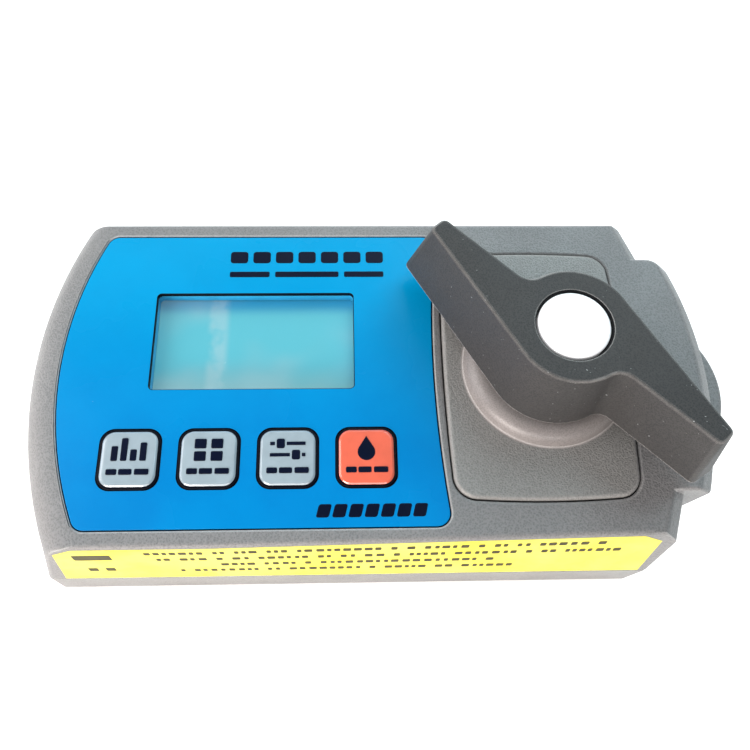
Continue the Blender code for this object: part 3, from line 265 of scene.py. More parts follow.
def handle_outline(flare):
    """The hub and its two arms, flared outwards by an amount that grows towards the table."""
    outer, inner = heading(ARM_OUTER), heading(ARM_INNER)
    hub_radius = HUB_RADIUS + flare
    tangent = hub_radius * Vector((-outer.y, outer.x))
    aside = Vector((inner.y, -inner.x))
    offset = ARM_INNER_OFFSET + flare * ARM_INNER_FLARE
    along = math.sqrt((hub_radius + ARM_FILLET) ** 2 - (offset + ARM_FILLET) ** 2)
    fillet = aside * (offset + ARM_FILLET) + inner * along
    tip_far = tangent + outer * (TIP_REACH + flare * TIP_FLARE)
    slant = TIP_SLANT + flare * TIP_SLANT_GROWTH
    tip_near = aside * offset + (tip_far.dot(inner) - slant) * inner
    root = aside * offset + inner * along
    tip = rounded([(tangent, 0), (root, 0), (tip_near, TIP_ROUND), (tip_far, TIP_ROUND)], 6)[2:]
    on_hub = math.atan2(-fillet.y, -fillet.x) % (2 * math.pi)
    on_line = math.atan2(-aside.y, -aside.x) % (2 * math.pi)
    corner = arc(fillet, ARM_FILLET, on_hub, on_line, 12)
    hub_start = math.atan2(-tangent.y, -tangent.x)
    hub_end = math.atan2(fillet.y, fillet.x)
    half = arc((0, 0), hub_radius, hub_start, hub_end, 28)[:-1] + corner + tip
    return [PRESS + p for p in half] + [PRESS - p for p in half]


def grip_outline():
    """The tray's grip: a crescent between the case's right end and a rounder arc."""
    wall = BULGE_RADIUS + CHAMFER + GRIP_CLEAR
    bulge = BULGE_APEX - BULGE_RADIUS
    turn = math.asin(GRIP_HALF / wall)
    rise = GRIP_APEX - bulge - wall * math.cos(turn)
    radius = (GRIP_HALF**2 + rise**2) / (2 * rise)
    swing = math.asin(GRIP_HALF / radius)
    front = arc((GRIP_APEX - radius, 0.0), radius, -swing, swing, 40)
    back = arc((bulge, 0.0), wall, turn, -turn, 24)
    return [PRESS + p for p in front + back[1:-1]]


# ---------------------------------------------------------------- building skins


class Skin:
    """A mesh put together from rings of points, the walls between them and flat faces."""

    def __init__(self):
        self.mesh = bmesh.new()

    def ring(self, outline, z):
        return [self.mesh.verts.new((p.x, p.y, z)) for p in outline]

    def wall(self, low, high, paint=0):
        """A closed band of faces between two rings."""
        for n in range(len(low)):
            face = self.mesh.faces.new((low[n - 1], low[n], high[n], high[n - 1]))
            face.material_index = paint

    def climb(self, rings, paint=0):
        for low, high in zip(rings, rings[1:]):
            self.wall(low, high, paint)

    def flat(self, loops, paint=0):
        """A level face inside the first loop, with the other loops as its holes."""
        corners = [vert for loop in loops for vert in loop]
        plan = [[Vector((v.co.x, v.co.y, 0.0)) for v in loop] for loop in loops]
        for triangle in geometry.tessellate_polygon(plan):
            self.mesh.faces.new([corners[n] for n in triangle]).material_index = paint

    def done(self, name, materials, body, replaced=(), sharp=32.0):
        """Makes the object, rides it on its body and hides the CAD nodes that it replaces."""
        bmesh.ops.recalc_face_normals(self.mesh, faces=self.mesh.faces)
        data = bpy.data.meshes.new(name)
        self.mesh.to_mesh(data)
        self.mesh.free()
        for paint in materials:
            data.materials.append(paint)
        data.shade_smooth()
        data.set_sharp_from_angle(angle=math.radians(sharp))
        made = bpy.data.objects.new(name, data)
        bpy.context.scene.collection.objects.link(made)
        weigh = made.modifiers.new("face_weights", "WEIGHTED_NORMAL")
        weigh.keep_sharp = True
        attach(made, body)
        if replaced:
            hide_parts(*replaced)
        return made


def edge_steps(radius, steps=4):
    """(inset, drop) pairs round a quarter turn, from the wall to the flat."""
    turns = [math.pi / 2 * n / steps for n in range(steps + 1)]
    return [(radius * (1 - math.cos(t)), radius * (1 - math.sin(t))) for t in turns]


def rounded_top(skin, outline, z, radius, steps=4):
    """Rings that turn a wall into the flat at z; a negative radius rounds the rim of a hole."""
    sign = math.copysign(1, radius)
    pairs = edge_steps(abs(radius), steps)
    return [skin.ring(grown(outline, -sign * inset), z - drop) for inset, drop in pairs]


# ---------------------------------------------------------------- surfaces


class Graph:
    """Short ways to add shader nodes to one material."""

    def __init__(self, name):
        self.material = bpy.data.materials.new(name)
        self.material.use_nodes = True
        self.nodes = self.material.node_tree.nodes
        self.links = self.material.node_tree.links
        self.shader = self.nodes["Principled BSDF"]
        self.place = self.add("ShaderNodeTexCoord").outputs["Object"]

    def add(self, kind, **values):
        node = self.nodes.new(kind)
        for key, value in values.items():
            setattr(node, key, value)
        return node

    def feed(self, socket, value):
        if isinstance(value, bpy.types.NodeSocket):
            self.links.new(value, socket)
        elif isinstance(value, (tuple, list)) and len(value) == 3 and len(socket.default_value) == 4:
            socket.default_value = (*value, 1.0)
        else:
            socket.default_value = value

    def noise(self, scale, detail=4.0, rough=0.55, at=None):
        node = self.add("ShaderNodeTexNoise")
        self.feed(node.inputs["Vector"], at or self.place)
        self.feed(node.inputs["Scale"], scale)
        self.feed(node.inputs["Detail"], detail)
        self.feed(node.inputs["Roughness"], rough)
        return node.outputs["Fac"]

    def cells(self, scale, feature="F1", at=None, smooth=0.0):
        node = self.add("ShaderNodeTexVoronoi", feature=feature)
        self.feed(node.inputs["Vector"], at or self.place)
        self.feed(node.inputs["Scale"], scale)
        if feature == "SMOOTH_F1":
            self.feed(node.inputs["Smoothness"], smooth)
        return node.outputs["Distance"]

    def math(self, kind, a, b=0.0):
        node = self.add("ShaderNodeMath", operation=kind)
        for socket, value in zip(node.inputs, (a, b)):
            self.feed(socket, value)
        return node.outputs[0]

    def times(self, a, b):
        return self.math("MULTIPLY", a, b)

    def spread(self, value, low, high, to_low=0.0, to_high=1.0):
        """Maps a range of values to another one, smoothly and clamped."""
        node = self.add("ShaderNodeMapRange", interpolation_type="SMOOTHSTEP")
        for socket, number in zip(node.inputs, (value, low, high, to_low, to_high)):
            self.feed(socket, number)
        return node.outputs[0]

    def mix(self, share, a, b):
        node = self.add("ShaderNodeMix", data_type="RGBA")
        self.feed(node.inputs[0], share)
        self.feed(node.inputs[6], a)
        self.feed(node.inputs[7], b)
        return node.outputs[2]

    def warped(self, scale, amount):
        """The place, pushed about by a noise."""
        node = self.add("ShaderNodeTexNoise")
        self.feed(node.inputs["Vector"], self.place)
        self.feed(node.inputs["Scale"], scale)
        push = self.add("ShaderNodeVectorMath", operation="MULTIPLY_ADD")
        self.links.new(node.outputs["Color"], push.inputs[0])
        push.inputs[1].default_value = (amount,) * 3
        self.links.new(self.place, push.inputs[2])
        return push.outputs[0]

    def part(self, axis):
        node = self.add("ShaderNodeSeparateXYZ")
        self.feed(node.inputs[0], self.place)
        return node.outputs[axis]

    def specks(self, scale, warp, size, patches, share):
        """Small dust specks that come in patches."""
        dots = self.spread(self.cells(scale, at=self.warped(*warp)), *size, 1.0, 0.0)
        return self.times(dots, self.spread(self.noise(patches, 2.0), *share))

    def bump(self, height, distance, under=None):
        node = self.add("ShaderNodeBump")
        node.inputs["Strength"].default_value = 1.0
        node.inputs["Distance"].default_value = distance
        self.feed(node.inputs["Height"], height)
        if under is not None:
            self.links.new(under, node.inputs["Normal"])
        return node.outputs[0]

    def soft_edges(self, radius):
        node = self.add("ShaderNodeBevel", samples=4)
        node.inputs["Radius"].default_value = radius
        return node.outputs[0]

    def edge_wear_and_highlight(self, radius, low=0.005, high=0.06):
        """Near 1 along edges and 0 on flats."""
        soft = self.soft_edges(radius)
        flat = self.add("ShaderNodeNewGeometry").outputs["Normal"]
        dot = self.add("ShaderNodeVectorMath", operation="DOT_PRODUCT")
        self.links.new(soft, dot.inputs[0])
        self.links.new(flat, dot.inputs[1])
        return self.spread(self.math("SUBTRACT", 1.0, dot.outputs["Value"]), low, high)

    def finish(self, **inputs):
        for name, value in inputs.items():
            self.feed(self.shader.inputs[name.replace("_", " ")], value)
        return self.material


def scaled(colour, share):
    return tuple(c * share for c in colour)


def moulded(name, colour, tint, wear_and_highlight, grain, depth, rough, speckle, edge=0.00045, shine=0.6, clean=0.60):
    """Moulded plastic: a spark-eroded grain, slow tint changes, dust specks, and edges lightened partly as
    rubbed wear and partly as a painted highlight.
    """
    g = Graph(name)
    pebble = g.cells(grain, "SMOOTH_F1", at=g.warped(900.0, 0.0006), smooth=0.35)
    fine = g.noise(grain * 2.6, 3.0, 0.6)
    height = g.math("ADD", g.times(pebble, 0.75), g.times(fine, 0.45))
    slow = g.mix(g.spread(g.noise(38.0, 5.0), 0.35, 0.65), colour, tint)
    shade = g.mix(g.spread(height, 0.25, 0.75), scaled(colour, 0.72), scaled(tint, 1.22))
    base = g.mix(0.6, slow, shade)
    dust = g.specks(620.0, (300.0, 0.004), (0.02, 0.10), 240.0, (clean, clean + 0.10))
    base = g.mix(g.times(dust, speckle), base, (0.62, 0.64, 0.64))
    uneven = g.spread(g.noise(420.0, 3.0), 0.25, 0.6, 0.6, 1.0)
    # Lighter edges: partly rubbed wear, partly a painted highlight along the rounded edges.
    worn_and_highlit = g.times(g.edge_wear_and_highlight(edge, 0.001, 0.022), uneven)
    base = g.mix(g.times(worn_and_highlit, 0.85), base, wear_and_highlight)
    gloss = g.spread(g.noise(55.0, 4.0), 0.3, 0.7, rough - 0.05, rough + 0.07)
    normal = g.bump(height, depth, g.soft_edges(edge))
    return g.finish(Base_Color=base, Roughness=gloss, Normal=normal, Specular_IOR_Level=shine)


def film(name, colour, far_colour, rough, coat):
    """Printed polycarbonate: a gradient from front to rear, faint orange peel and dust."""
    g = Graph(name)
    base = g.mix(g.spread(g.part(1), *FILM_SPAN), colour, far_colour)
    cloud = g.spread(g.noise(45.0, 5.0), 0.3, 0.7)
    base = g.mix(g.times(cloud, 0.10), base, (0.0, 0.52, 0.95))
    dust = g.specks(260.0, (120.0, 0.006), (0.012, 0.034), 60.0, (0.60, 0.66))
    base = g.mix(g.times(dust, 0.6), base, (0.85, 0.92, 0.95))
    peel = g.bump(g.noise(900.0, 2.0), 0.000012, g.soft_edges(0.0001))
    wobble = g.bump(g.noise(70.0, 1.0), 0.00012, peel)
    gloss = g.spread(g.noise(30.0, 4.0), 0.3, 0.7, rough - 0.04, rough + 0.06)
    return g.finish(
        Base_Color=base, Roughness=gloss, Normal=wobble, Coat_Weight=coat, Coat_Roughness=0.12,
        Specular_IOR_Level=0.10,
    )


def glossy(name, colour, rough=0.2, coat=1.0, mottle=0.04, painted_glow=0.0):
    """A clear domed finish over a flat print, with an optional painted glow."""
    g = Graph(name)
    base = g.mix(g.spread(g.noise(210.0, 5.0), 0.3, 0.7), scaled(colour, 1 - mottle * 2.5), colour)
    swell = g.bump(g.noise(120.0, 1.5), 0.00010)
    return g.finish(
        Base_Color=base, Roughness=rough, Normal=swell, Coat_Weight=coat, Coat_Roughness=0.05,
        Emission_Color=base, Emission_Strength=painted_glow,
    )


def metal(name, colour, rough):
    """Machined or rolled metal with fine lines along X and faint stains."""
    g = Graph(name)
    lay = g.add("ShaderNodeMapping")
    g.links.new(g.place, lay.inputs["Vector"])
    lay.inputs["Scale"].default_value = (60.0, 2600.0, 2600.0)
    lines = g.noise(1.0, 4.0, 0.65, at=lay.outputs[0])
    stain = g.spread(g.noise(170.0, 5.0), 0.3, 0.7)
    base = g.mix(stain, scaled(colour, 0.82), colour)
    base = g.mix(g.spread(lines, 0.3, 0.7, 0.0, 0.25), base, scaled(colour, 0.7))
    gloss = g.spread(lines, 0.3, 0.7, rough - 0.06, rough + 0.10)
    normal = g.bump(lines, 0.000012, g.soft_edges(0.00025))
    return g.finish(Base_Color=base, Roughness=gloss, Normal=normal, Metallic=1.0)


def matt(name, colour, rough, scale=1400.0, depth=0.00003, sheen=0.0, shine=0.5):
    """Rubber, insulator, ink, black plastic, and the painted recess shade and well reflection: a fine tooth
    and uneven dulling.
    """
    g = Graph(name)
    base = g.mix(g.spread(g.noise(130.0, 5.0), 0.3, 0.7), scaled(colour, 0.8), colour)
    rubbed = tuple(min(1.0, c * 1.5 + 0.03) for c in colour)
    base = g.mix(g.times(g.edge_wear_and_highlight(0.0004), 0.2), base, rubbed)
    gloss = g.spread(g.noise(90.0, 3.0), 0.3, 0.7, rough - 0.06, rough + 0.06)
    normal = g.bump(g.noise(scale, 4.0, 0.6), depth, g.soft_edges(0.0003))
    return g.finish(
        Base_Color=base, Roughness=gloss, Normal=normal, Sheen_Weight=sheen, Specular_IOR_Level=shine
    )


def circuit_board(name):
    """Green solder mask with tracks showing through it."""
    g = Graph(name)
    tracks = g.spread(g.cells(330.0), 0.30, 0.34)
    base = g.mix(tracks, (0.012, 0.16, 0.055), (0.02, 0.24, 0.09))
    normal = g.bump(tracks, 0.00003, g.bump(g.noise(1800.0), 0.000008))
    return g.finish(Base_Color=base, Roughness=0.35, Normal=normal, Coat_Weight=0.4)


def display_glass(name):
    """A display that is off: teal, greyer at its front edge, bluer and darker at its rear edge as a painted
    shadow of the well's rear wall, with a painted pale reflection patch and streak, and a painted glow.
    """
    g = Graph(name)
    low, high = WINDOW.y - WINDOW_SIZE[1] / 2, WINDOW.y + WINDOW_SIZE[1] / 2
    front_share = g.spread(g.part(1), low - 0.001, low + 0.008)
    base = g.mix(front_share, (0.185, 0.365, 0.370), (0.098, 0.415, 0.485))
    # Painted shadow: the rear edge darkens to deep blue where the well's rear wall shades the glass.
    rear_painted_shadow = g.spread(g.part(1), high - 0.0050, high - 0.0005)
    base = g.mix(g.times(rear_painted_shadow, 0.7), base, (0.005, 0.24, 0.50))
    # Painted reflection: a pale patch laid over the glass.
    painted_reflection_patch = g.spread(g.noise(34.0, 2.0), 0.42, 0.66)
    base = g.mix(g.times(painted_reflection_patch, 0.45), base, (0.37, 0.47, 0.48))
    # Painted reflection: a pale broken streak down the glass, left of its middle.
    aside = g.math("ABSOLUTE", g.math("SUBTRACT", g.part(0), WINDOW.x - 0.0095))
    broken = g.spread(g.noise(150.0, 3.0), 0.35, 0.6)
    painted_reflection_streak = g.times(g.spread(aside, 0.0012, 0.0034, 1.0, 0.0), broken)
    base = g.mix(g.times(painted_reflection_streak, 0.40), base, (0.44, 0.52, 0.53))
    dust = g.specks(520.0, (200.0, 0.003), (0.02, 0.07), 90.0, (0.66, 0.72))
    base = g.mix(dust, base, (0.80, 0.92, 0.92))
    # The emission is a painted glow; the display is off.
    return g.finish(
        Base_Color=base, Roughness=0.30, Normal=g.bump(g.noise(2400.0, 1.0), 0.000006),
        Coat_Weight=0.3, Coat_Roughness=0.15, Emission_Color=base, Emission_Strength=0.34,
    )


def clear_pane(name):
    """A thin clear window: straight through, with a faint mirror on its outer faces only."""
    g = Graph(name)
    mirror = g.add("ShaderNodeBsdfGlossy")
    g.feed(mirror.inputs["Roughness"], g.spread(g.noise(60.0, 3.0), 0.3, 0.7, 0.03, 0.12))
    see = g.add("ShaderNodeBsdfTransparent")
    see.inputs["Color"].default_value = (0.96, 0.985, 0.99, 1.0)
    fresnel = g.add("ShaderNodeFresnel")
    fresnel.inputs["IOR"].default_value = 1.30
    outside = g.math("SUBTRACT", 1.0, g.add("ShaderNodeNewGeometry").outputs["Backfacing"])
    both = g.add("ShaderNodeMixShader")
    g.links.new(g.times(fresnel.outputs[0], outside), both.inputs[0])
    g.links.new(see.outputs[0], both.inputs[1])
    g.links.new(mirror.outputs[0], both.inputs[2])
    g.links.new(both.outputs[0], g.nodes["Material Output"].inputs["Surface"])
    return g.material


# Pattern scales are in cells per metre; depths and edge radii are in metres
FILM_SPAN = (-0.030, 0.038)
CASE = moulded(
    "case_plastic", (0.172, 0.170, 0.172), (0.212, 0.206, 0.205), wear_and_highlight=(0.62, 0.61, 0.60),
    grain=2100.0, depth=0.00012, rough=0.42, speckle=0.35,
)
LOWER = moulded(
    "lower_plastic", (0.178, 0.174, 0.169), (0.218, 0.211, 0.204), wear_and_highlight=(0.75, 0.75, 0.74),
    grain=2100.0, depth=0.00012, rough=0.42, speckle=0.3,
)
COVER = moulded(
    "cover_plastic", (0.212, 0.208, 0.200), (0.256, 0.250, 0.240), wear_and_highlight=(0.72, 0.70, 0.68),
    grain=2300.0, depth=0.00012, rough=0.40, speckle=0.40,
)
COLLAR = moulded(
    "collar_plastic", (0.222, 0.202, 0.195), (0.255, 0.232, 0.223), wear_and_highlight=(0.80, 0.77, 0.75),
    grain=3400.0, depth=0.00001, rough=0.38, speckle=0.15, edge=0.00040,
)
HANDLE = moulded(
    "handle_plastic", (0.040, 0.040, 0.041), (0.053, 0.051, 0.050), wear_and_highlight=(0.55, 0.53, 0.51),
    grain=2600.0, depth=0.00004, rough=0.50, speckle=0.85, shine=0.20, clean=0.47,
)
# Painted shade: near-black on the case's recess walls and floors, the key passages and the handle's bore.
RECESS_SHADE = matt("inner_black", (0.006, 0.0065, 0.008), 0.5, shine=0.12)
# Painted reflection: blue on the grey shell's window walls.
WELL_BLUE_REFLECTION = matt("well_blue", (0.03, 0.42, 0.75), 0.4)
OVERLAY = film("overlay_film", (0.0, 0.205, 0.54), (0.0, 0.310, 0.61), rough=0.26, coat=0.04)
YELLOW = film("label_film", (0.90, 0.77, 0.042), (0.90, 0.77, 0.042), rough=0.42, coat=0.25)
PRINT = matt("print_ink", (0.001, 0.004, 0.020), 0.35, depth=0.000005, shine=0.12)
FAINT = matt("print_ink_faint", (0.07, 0.06, 0.02), 0.5, depth=0.000005, shine=0.15)
KEY_GREY = glossy("key_grey", (0.365, 0.440, 0.490))
KEY_ORANGE = glossy("key_orange", (0.90, 0.150, 0.080))
KEY_RIM = matt("key_rim", (0.0006, 0.0016, 0.007), 0.45, shine=0.08)
# The white cap's emission is a painted glow.
CAP_WHITE = glossy("cap_white", (0.93, 0.93, 0.94), 0.16, coat=0.8, mottle=0.01, painted_glow=0.18)
LCD = display_glass("display_glass")
PANE = clear_pane("clear_window")
BLACK = matt("black_plastic", (0.020, 0.020, 0.022), 0.45)
RUBBER = matt("rubber", (0.018, 0.018, 0.019), 0.80, scale=2200.0, depth=0.00006, sheen=0.25)
STEEL = metal("steel", (0.60, 0.60, 0.61), 0.30)
BRASS = metal("brass", (0.74, 0.53, 0.24), 0.28)
BOARD = circuit_board("circuit_board")
INSULATOR = matt("insulator", (0.70, 0.69, 0.64), 0.45)
CELL = glossy("cell_wrap", (0.035, 0.10, 0.16), 0.25, coat=0.5, mottle=0.1)


# ---------------------------------------------------------------- case


def case_levels():
    """(height, inset) pairs up the top shell's wall, from its lip to its rounded top edge."""
    turns = [LEAN + (math.pi / 2 - LEAN) * n / 10 for n in range(9)]
    depths = [END_ROUND * (1 - math.sin(turn)) for turn in turns]
    depths += [CHAMFER + CHAMFER_SOFT * n / 2 for n in range(-2, 3)]
    depths = [d for d in depths if d > CASE_EDGE * 1.05]
    depths += [drop for _, drop in edge_steps(CASE_EDGE, 5)]
    levels = [(SPLIT_Z, CASE_LIP), (SPLIT_Z + CASE_LIP, 0.0)]
    for depth in sorted(set(depths), reverse=True):
        climb = max(CASE_EDGE - depth, 0.0)
        levels.append((TOP_Z - depth, CASE_EDGE - math.sqrt(CASE_EDGE**2 - climb**2)))
    return levels


def recess(skin, outline, floor, rim):
    """A step down from the top, its walls painted dark as shade, with a rounded rim: its floor ring and its
    top ring.
    """
    rings = [skin.ring(outline, floor)] + rounded_top(skin, outline, TOP_Z, -rim)
    skin.wall(rings[0], rings[1], paint=2)
    skin.climb(rings[1:])
    return rings[0], rings[-1]


def passage(skin, outline, top, paint=0):
    """The wall of a hole from the case's ceiling up to a recess's floor."""
    rings = [skin.ring(outline, CEILING_Z), skin.ring(outline, top)]
    skin.climb(rings, paint)
    return rings


def make_top_shell():
    skin = Skin()
    outer = [skin.ring(case_outline(z, inset), z) for z, inset in case_levels()]
    skin.climb(outer)
    cover_floor_z = COVER_BOTTOM - GAP
    film_floor, film_rim = recess(skin, grown(overlay_outline(), GAP), RECESS_Z, OVERLAY_RIM)
    cover_floor, cover_rim = recess(skin, grown(cover_outline(), GAP), cover_floor_z, COVER_RIM)
    skin.flat([outer[-1], film_rim, cover_rim])
    # The window's walls take the painted blue reflection; the key passages and the film's floor take the
    # painted recess shade.
    through = [passage(skin, rectangle(WINDOW, WINDOW_SIZE, WINDOW_ROUND), RECESS_Z, paint=1)]
    key_hole = (KEY_CAP[0] + 2 * GAP, KEY_CAP[1] + 2 * GAP)
    for spot in KEYS:
        through.append(passage(skin, rectangle(spot, key_hole, KEY_ROUND), RECESS_Z, paint=2))
    skin.flat([film_floor] + [rings[-1] for rings in through], paint=2)
    opening = rectangle(COVER_HOLE_CENTRE, COVER_HOLE, OPENING_ROUND)
    through.append(passage(skin, opening, cover_floor_z))
    skin.flat([cover_floor, through[-1][-1]])
    inner = [skin.ring(case_outline(z, WALL), z) for z in (SPLIT_Z, TOP_Z - ROUND_DEPTH, CEILING_Z)]
    skin.climb(inner)
    skin.wall(outer[0], inner[0])
    skin.flat([inner[-1]] + [rings[0] for rings in through])
    skin.done("top_shell_skin", [CASE, WELL_BLUE_REFLECTION, RECESS_SHADE], "case", ["top_shell"])


def front_y(x, z):
    """Where the front face lies; x is measured from the press axis."""
    depth = TOP_Z - z
    half = HALF_DEPTH + depth * math.tan(LEAN)
    taper = front_taper(depth)
    right = shoulder_x(half - taper, min(depth, CHAMFER))
    share = (x - TAPER_START) / (right - TAPER_START)
    return taper * max(share, 0.0) - half


def on_face(x, z, stand):
    """A point on the leaning front face, stand outside it."""
    y = front_y(x - PRESS_X, z)
    return Vector((x, y - stand * math.cos(LEAN), z + stand * math.sin(LEAN)))


def make_label():
    """The strip on the leaning front face, a thin film that stands just proud of it."""
    left, right = PRESS_X + LABEL_LEFT, PRESS_X + LABEL_RIGHT
    clip_x, clip_z = LABEL_CLIP
    first, last = left + clip_x, right - clip_x
    between = [first + (last - first) * n / LABEL_COLUMNS for n in range(LABEL_COLUMNS + 1)]
    below = [(x, LABEL_BOTTOM) for x in [left - LABEL_SPREAD] + between + [right]]
    above = [(x, LABEL_TOP) for x in between]
    above = [(left, LABEL_TOP - clip_z)] + above + [(right, LABEL_TOP - clip_z)]
    skin = Skin()
    sections = []
    for low, high in zip(below, above):
        corners = [(low, LABEL_BACK), (low, LABEL_FACE), (high, LABEL_FACE), (high, LABEL_BACK)]
        sections.append([skin.mesh.verts.new(on_face(*spot, stand)) for spot, stand in corners])
    skin.climb(sections)
    for section in (sections[0], sections[-1]):
        skin.mesh.faces.new(section)
    skin.done("label_film", [YELLOW], "case", ["front_label"])


def make_overlay():
    """The keypad film, with rounded rims round its window and its key holes."""
    skin = Skin()
    low, outline = TOP_Z - OVERLAY_T, overlay_outline()
    holes = [rectangle(WINDOW, WINDOW_SIZE, WINDOW_ROUND)]
    holes += [rectangle(spot, KEY_HOLE, KEY_ROUND + KEY_HOLE_ROUNDER) for spot in KEYS]
    outer = [skin.ring(outline, low)] + rounded_top(skin, outline, TOP_Z, OVERLAY_EDGE)
    skin.climb(outer)
    inner = [[skin.ring(hole, low)] + rounded_top(skin, hole, TOP_Z, -OVERLAY_EDGE) for hole in holes]
    for rings in inner:
        skin.climb(rings, paint=1)
    skin.flat([outer[-1]] + [rings[-1] for rings in inner])
    skin.flat([outer[0]] + [rings[0] for rings in inner])
    skin.done("overlay_film", [OVERLAY, KEY_RIM], "case", ["keypad_overlay"])


def collar_profile():
    """(radius, height) pairs: a blend out of the cover, a swelling wall, a flat top and the bore."""
    wide, rise = COLLAR_FOOT - COLLAR_RIM, COLLAR_TOP - COVER_TOP
    profile = []
    for n in range(4):
        turn = math.pi / 2 * n / 6
        out, up = COLLAR_BLEND * (1 - math.sin(turn)), COLLAR_BLEND * (1 - math.cos(turn))
        profile.append((COLLAR_FOOT + out, COVER_TOP + up))
    for n in range(11):
        turn = COLLAR_START + (math.pi / 2 - COLLAR_START) * n / 10
        profile.append((COLLAR_FOOT - wide * (1 - math.cos(turn)), COVER_TOP + rise * math.sin(turn)))
    profile += [(COLLAR_RIM - COLLAR_LIP, COLLAR_TOP), (COLLAR_BORE + COLLAR_BORE_EASE, COLLAR_TOP)]
    return profile + [(COLLAR_BORE, COLLAR_TOP - COLLAR_BORE_EASE), (COLLAR_BORE, COVER_BOTTOM)]


def make_cover():
    """The press cover: a bowed plate with a round collar that rises to the handle's hub."""
    skin = Skin()
    outline = cover_outline()
    outer = [skin.ring(outline, COVER_BOTTOM)]
    outer += rounded_top(skin, outline, COVER_TOP, COVER_EDGE, 5)
    skin.climb(outer)
    rings = [skin.ring(circle(PRESS, radius), z) for radius, z in collar_profile()]
    skin.climb(rings, paint=1)
    skin.flat([outer[-1], rings[0]])
    skin.flat([outer[0], rings[-1]])
    skin.done("press_cover_skin", [COVER, COLLAR], "case", ["press_cover"])


# ---------------------------------------------------------------- handle, keys and grip


def make_handle():
    """The two-armed handle, with a socket for the spindle below and a well for the cap above."""
    skin = Skin()
    levels = [(HANDLE_BOTTOM, HANDLE_FLARE, -HANDLE_FOOT_EDGE)]
    levels.append((HANDLE_BOTTOM + HANDLE_FOOT_EDGE, HANDLE_FLARE, 0.0))
    levels += [(HANDLE_TOP - drop, 0.0, -inset) for inset, drop in edge_steps(HANDLE_EDGE, 4)]
    outer = [skin.ring(grown(handle_outline(flare), inset), z) for z, flare, inset in levels]
    skin.climb(outer)
    well = CAP_RADIUS + GAP
    bore = [(SOCKET_RADIUS, HANDLE_BOTTOM), (SOCKET_RADIUS, SOCKET_TOP)]
    bore += [(SCREW_PASSAGE, SOCKET_TOP), (SCREW_PASSAGE, CAP_WELL), (well, CAP_WELL)]
    bore += [(well, HANDLE_TOP - CAP_WELL_EASE), (well + CAP_WELL_EASE, HANDLE_TOP)]
    rings = [skin.ring(circle(PRESS, radius), z) for radius, z in bore]
    # The bore takes the painted recess shade.
    skin.climb(rings, paint=1)
    skin.flat([outer[-1], rings[-1]])
    skin.flat([outer[0], rings[0]])
    skin.done("handle_skin", [HANDLE, RECESS_SHADE], "press_handle", ["press_handle"])


def make_cap():
    """The white button in the handle's hub, with a rolled edge and a slight crown."""
    skin = Skin()
    crown, rim_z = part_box("handle_cap")[1].z, HANDLE_TOP + CAP_STAND
    profile = [(CAP_RADIUS, CAP_BOTTOM)]
    profile += [(CAP_RADIUS - inset, rim_z - drop) for inset, drop in edge_steps(CAP_EDGE, 5)]
    for n in range(1, 8):
        share = 1 - n / 8
        profile.append(((CAP_RADIUS - CAP_EDGE) * share, rim_z + (crown - rim_z) * (1 - share**2)))
    rings = [skin.ring(circle(PRESS, radius, 72), z) for radius, z in profile]
    skin.climb(rings)
    skin.mesh.faces.new(rings[0])
    peak = skin.mesh.verts.new((PRESS_X, 0.0, crown))
    for n in range(len(rings[-1])):
        skin.mesh.faces.new((rings[-1][n - 1], rings[-1][n], peak))
    skin.done("cap_button", [CAP_WHITE], "press_handle", ["handle_cap"])


def make_key(n, spot):
    """A domed key: a face under clear resin, a black rim, and its flange inside the case."""
    skin = Skin()
    face = rectangle(spot, KEY_CAP, KEY_ROUND)
    flange, rim = grown(face, KEY_FLANGE_WIDER), grown(face, KEY_RIM_WIDE)
    levels = [(flange, KEY_FLANGE[0]), (flange, KEY_FLANGE[1]), (face, KEY_FLANGE[1]), (face, KEY_SKIRT)]
    levels += [(rim, KEY_SKIRT), (rim, TOP_Z - KEY_RIM_EASE)]
    levels.append((grown(rim, -KEY_RIM_EASE), TOP_Z + KEY_RIM_EASE))
    levels.append((grown(rim, -KEY_DARK), TOP_Z + KEY_RESIN_FOOT))
    dark = [skin.ring(outline, z) for outline, z in levels]
    resin = [skin.ring(grown(rim, -KEY_DARK - inset), TOP_Z + z) for inset, z in KEY_RESIN]
    skin.climb(dark, paint=1)
    skin.climb([dark[-1]] + resin)
    edge = [Vector((v.co.x, v.co.y)) for v in resin[-1]]
    dome = [resin[-1]]
    for share in (0.8, 0.6, 0.4, 0.2):
        height = KEY_TOP - KEY_CROWN * share**2
        dome.append(skin.ring([spot.lerp(p, share) for p in edge], height))
    skin.climb(dome)
    skin.mesh.faces.new(dark[0]).material_index = 1
    skin.flat([dome[-1]])
    slot, paint = ("key_orange", KEY_ORANGE) if n == len(KEYS) else ("key_grey", KEY_GREY)
    skin.done(f"key_{n}_dome", [paint, KEY_RIM], f"key_{n}", [f"key_cap_{n}"], sharp=12.0)


def make_grip():
    skin = Skin()
    outline = grip_outline()
    foot = reversed(edge_steps(GRIP_FOOT_EDGE, 3))
    rings = [skin.ring(grown(outline, -inset), GRIP_BOTTOM + drop) for inset, drop in foot]
    rings += rounded_top(skin, outline, GRIP_TOP, GRIP_EDGE, 6)
    skin.climb(rings)
    skin.flat([rings[0]])
    skin.flat([rings[-1]])
    skin.done("grip_skin", [CASE], "sample_tray", ["tray_grip"])


# ---------------------------------------------------------------- printing


def on_top(x, y, stand):
    return Vector((x, y, TOP_Z + stand))


def on_key(x, y, stand):
    return Vector((x, y, KEY_TOP + stand))


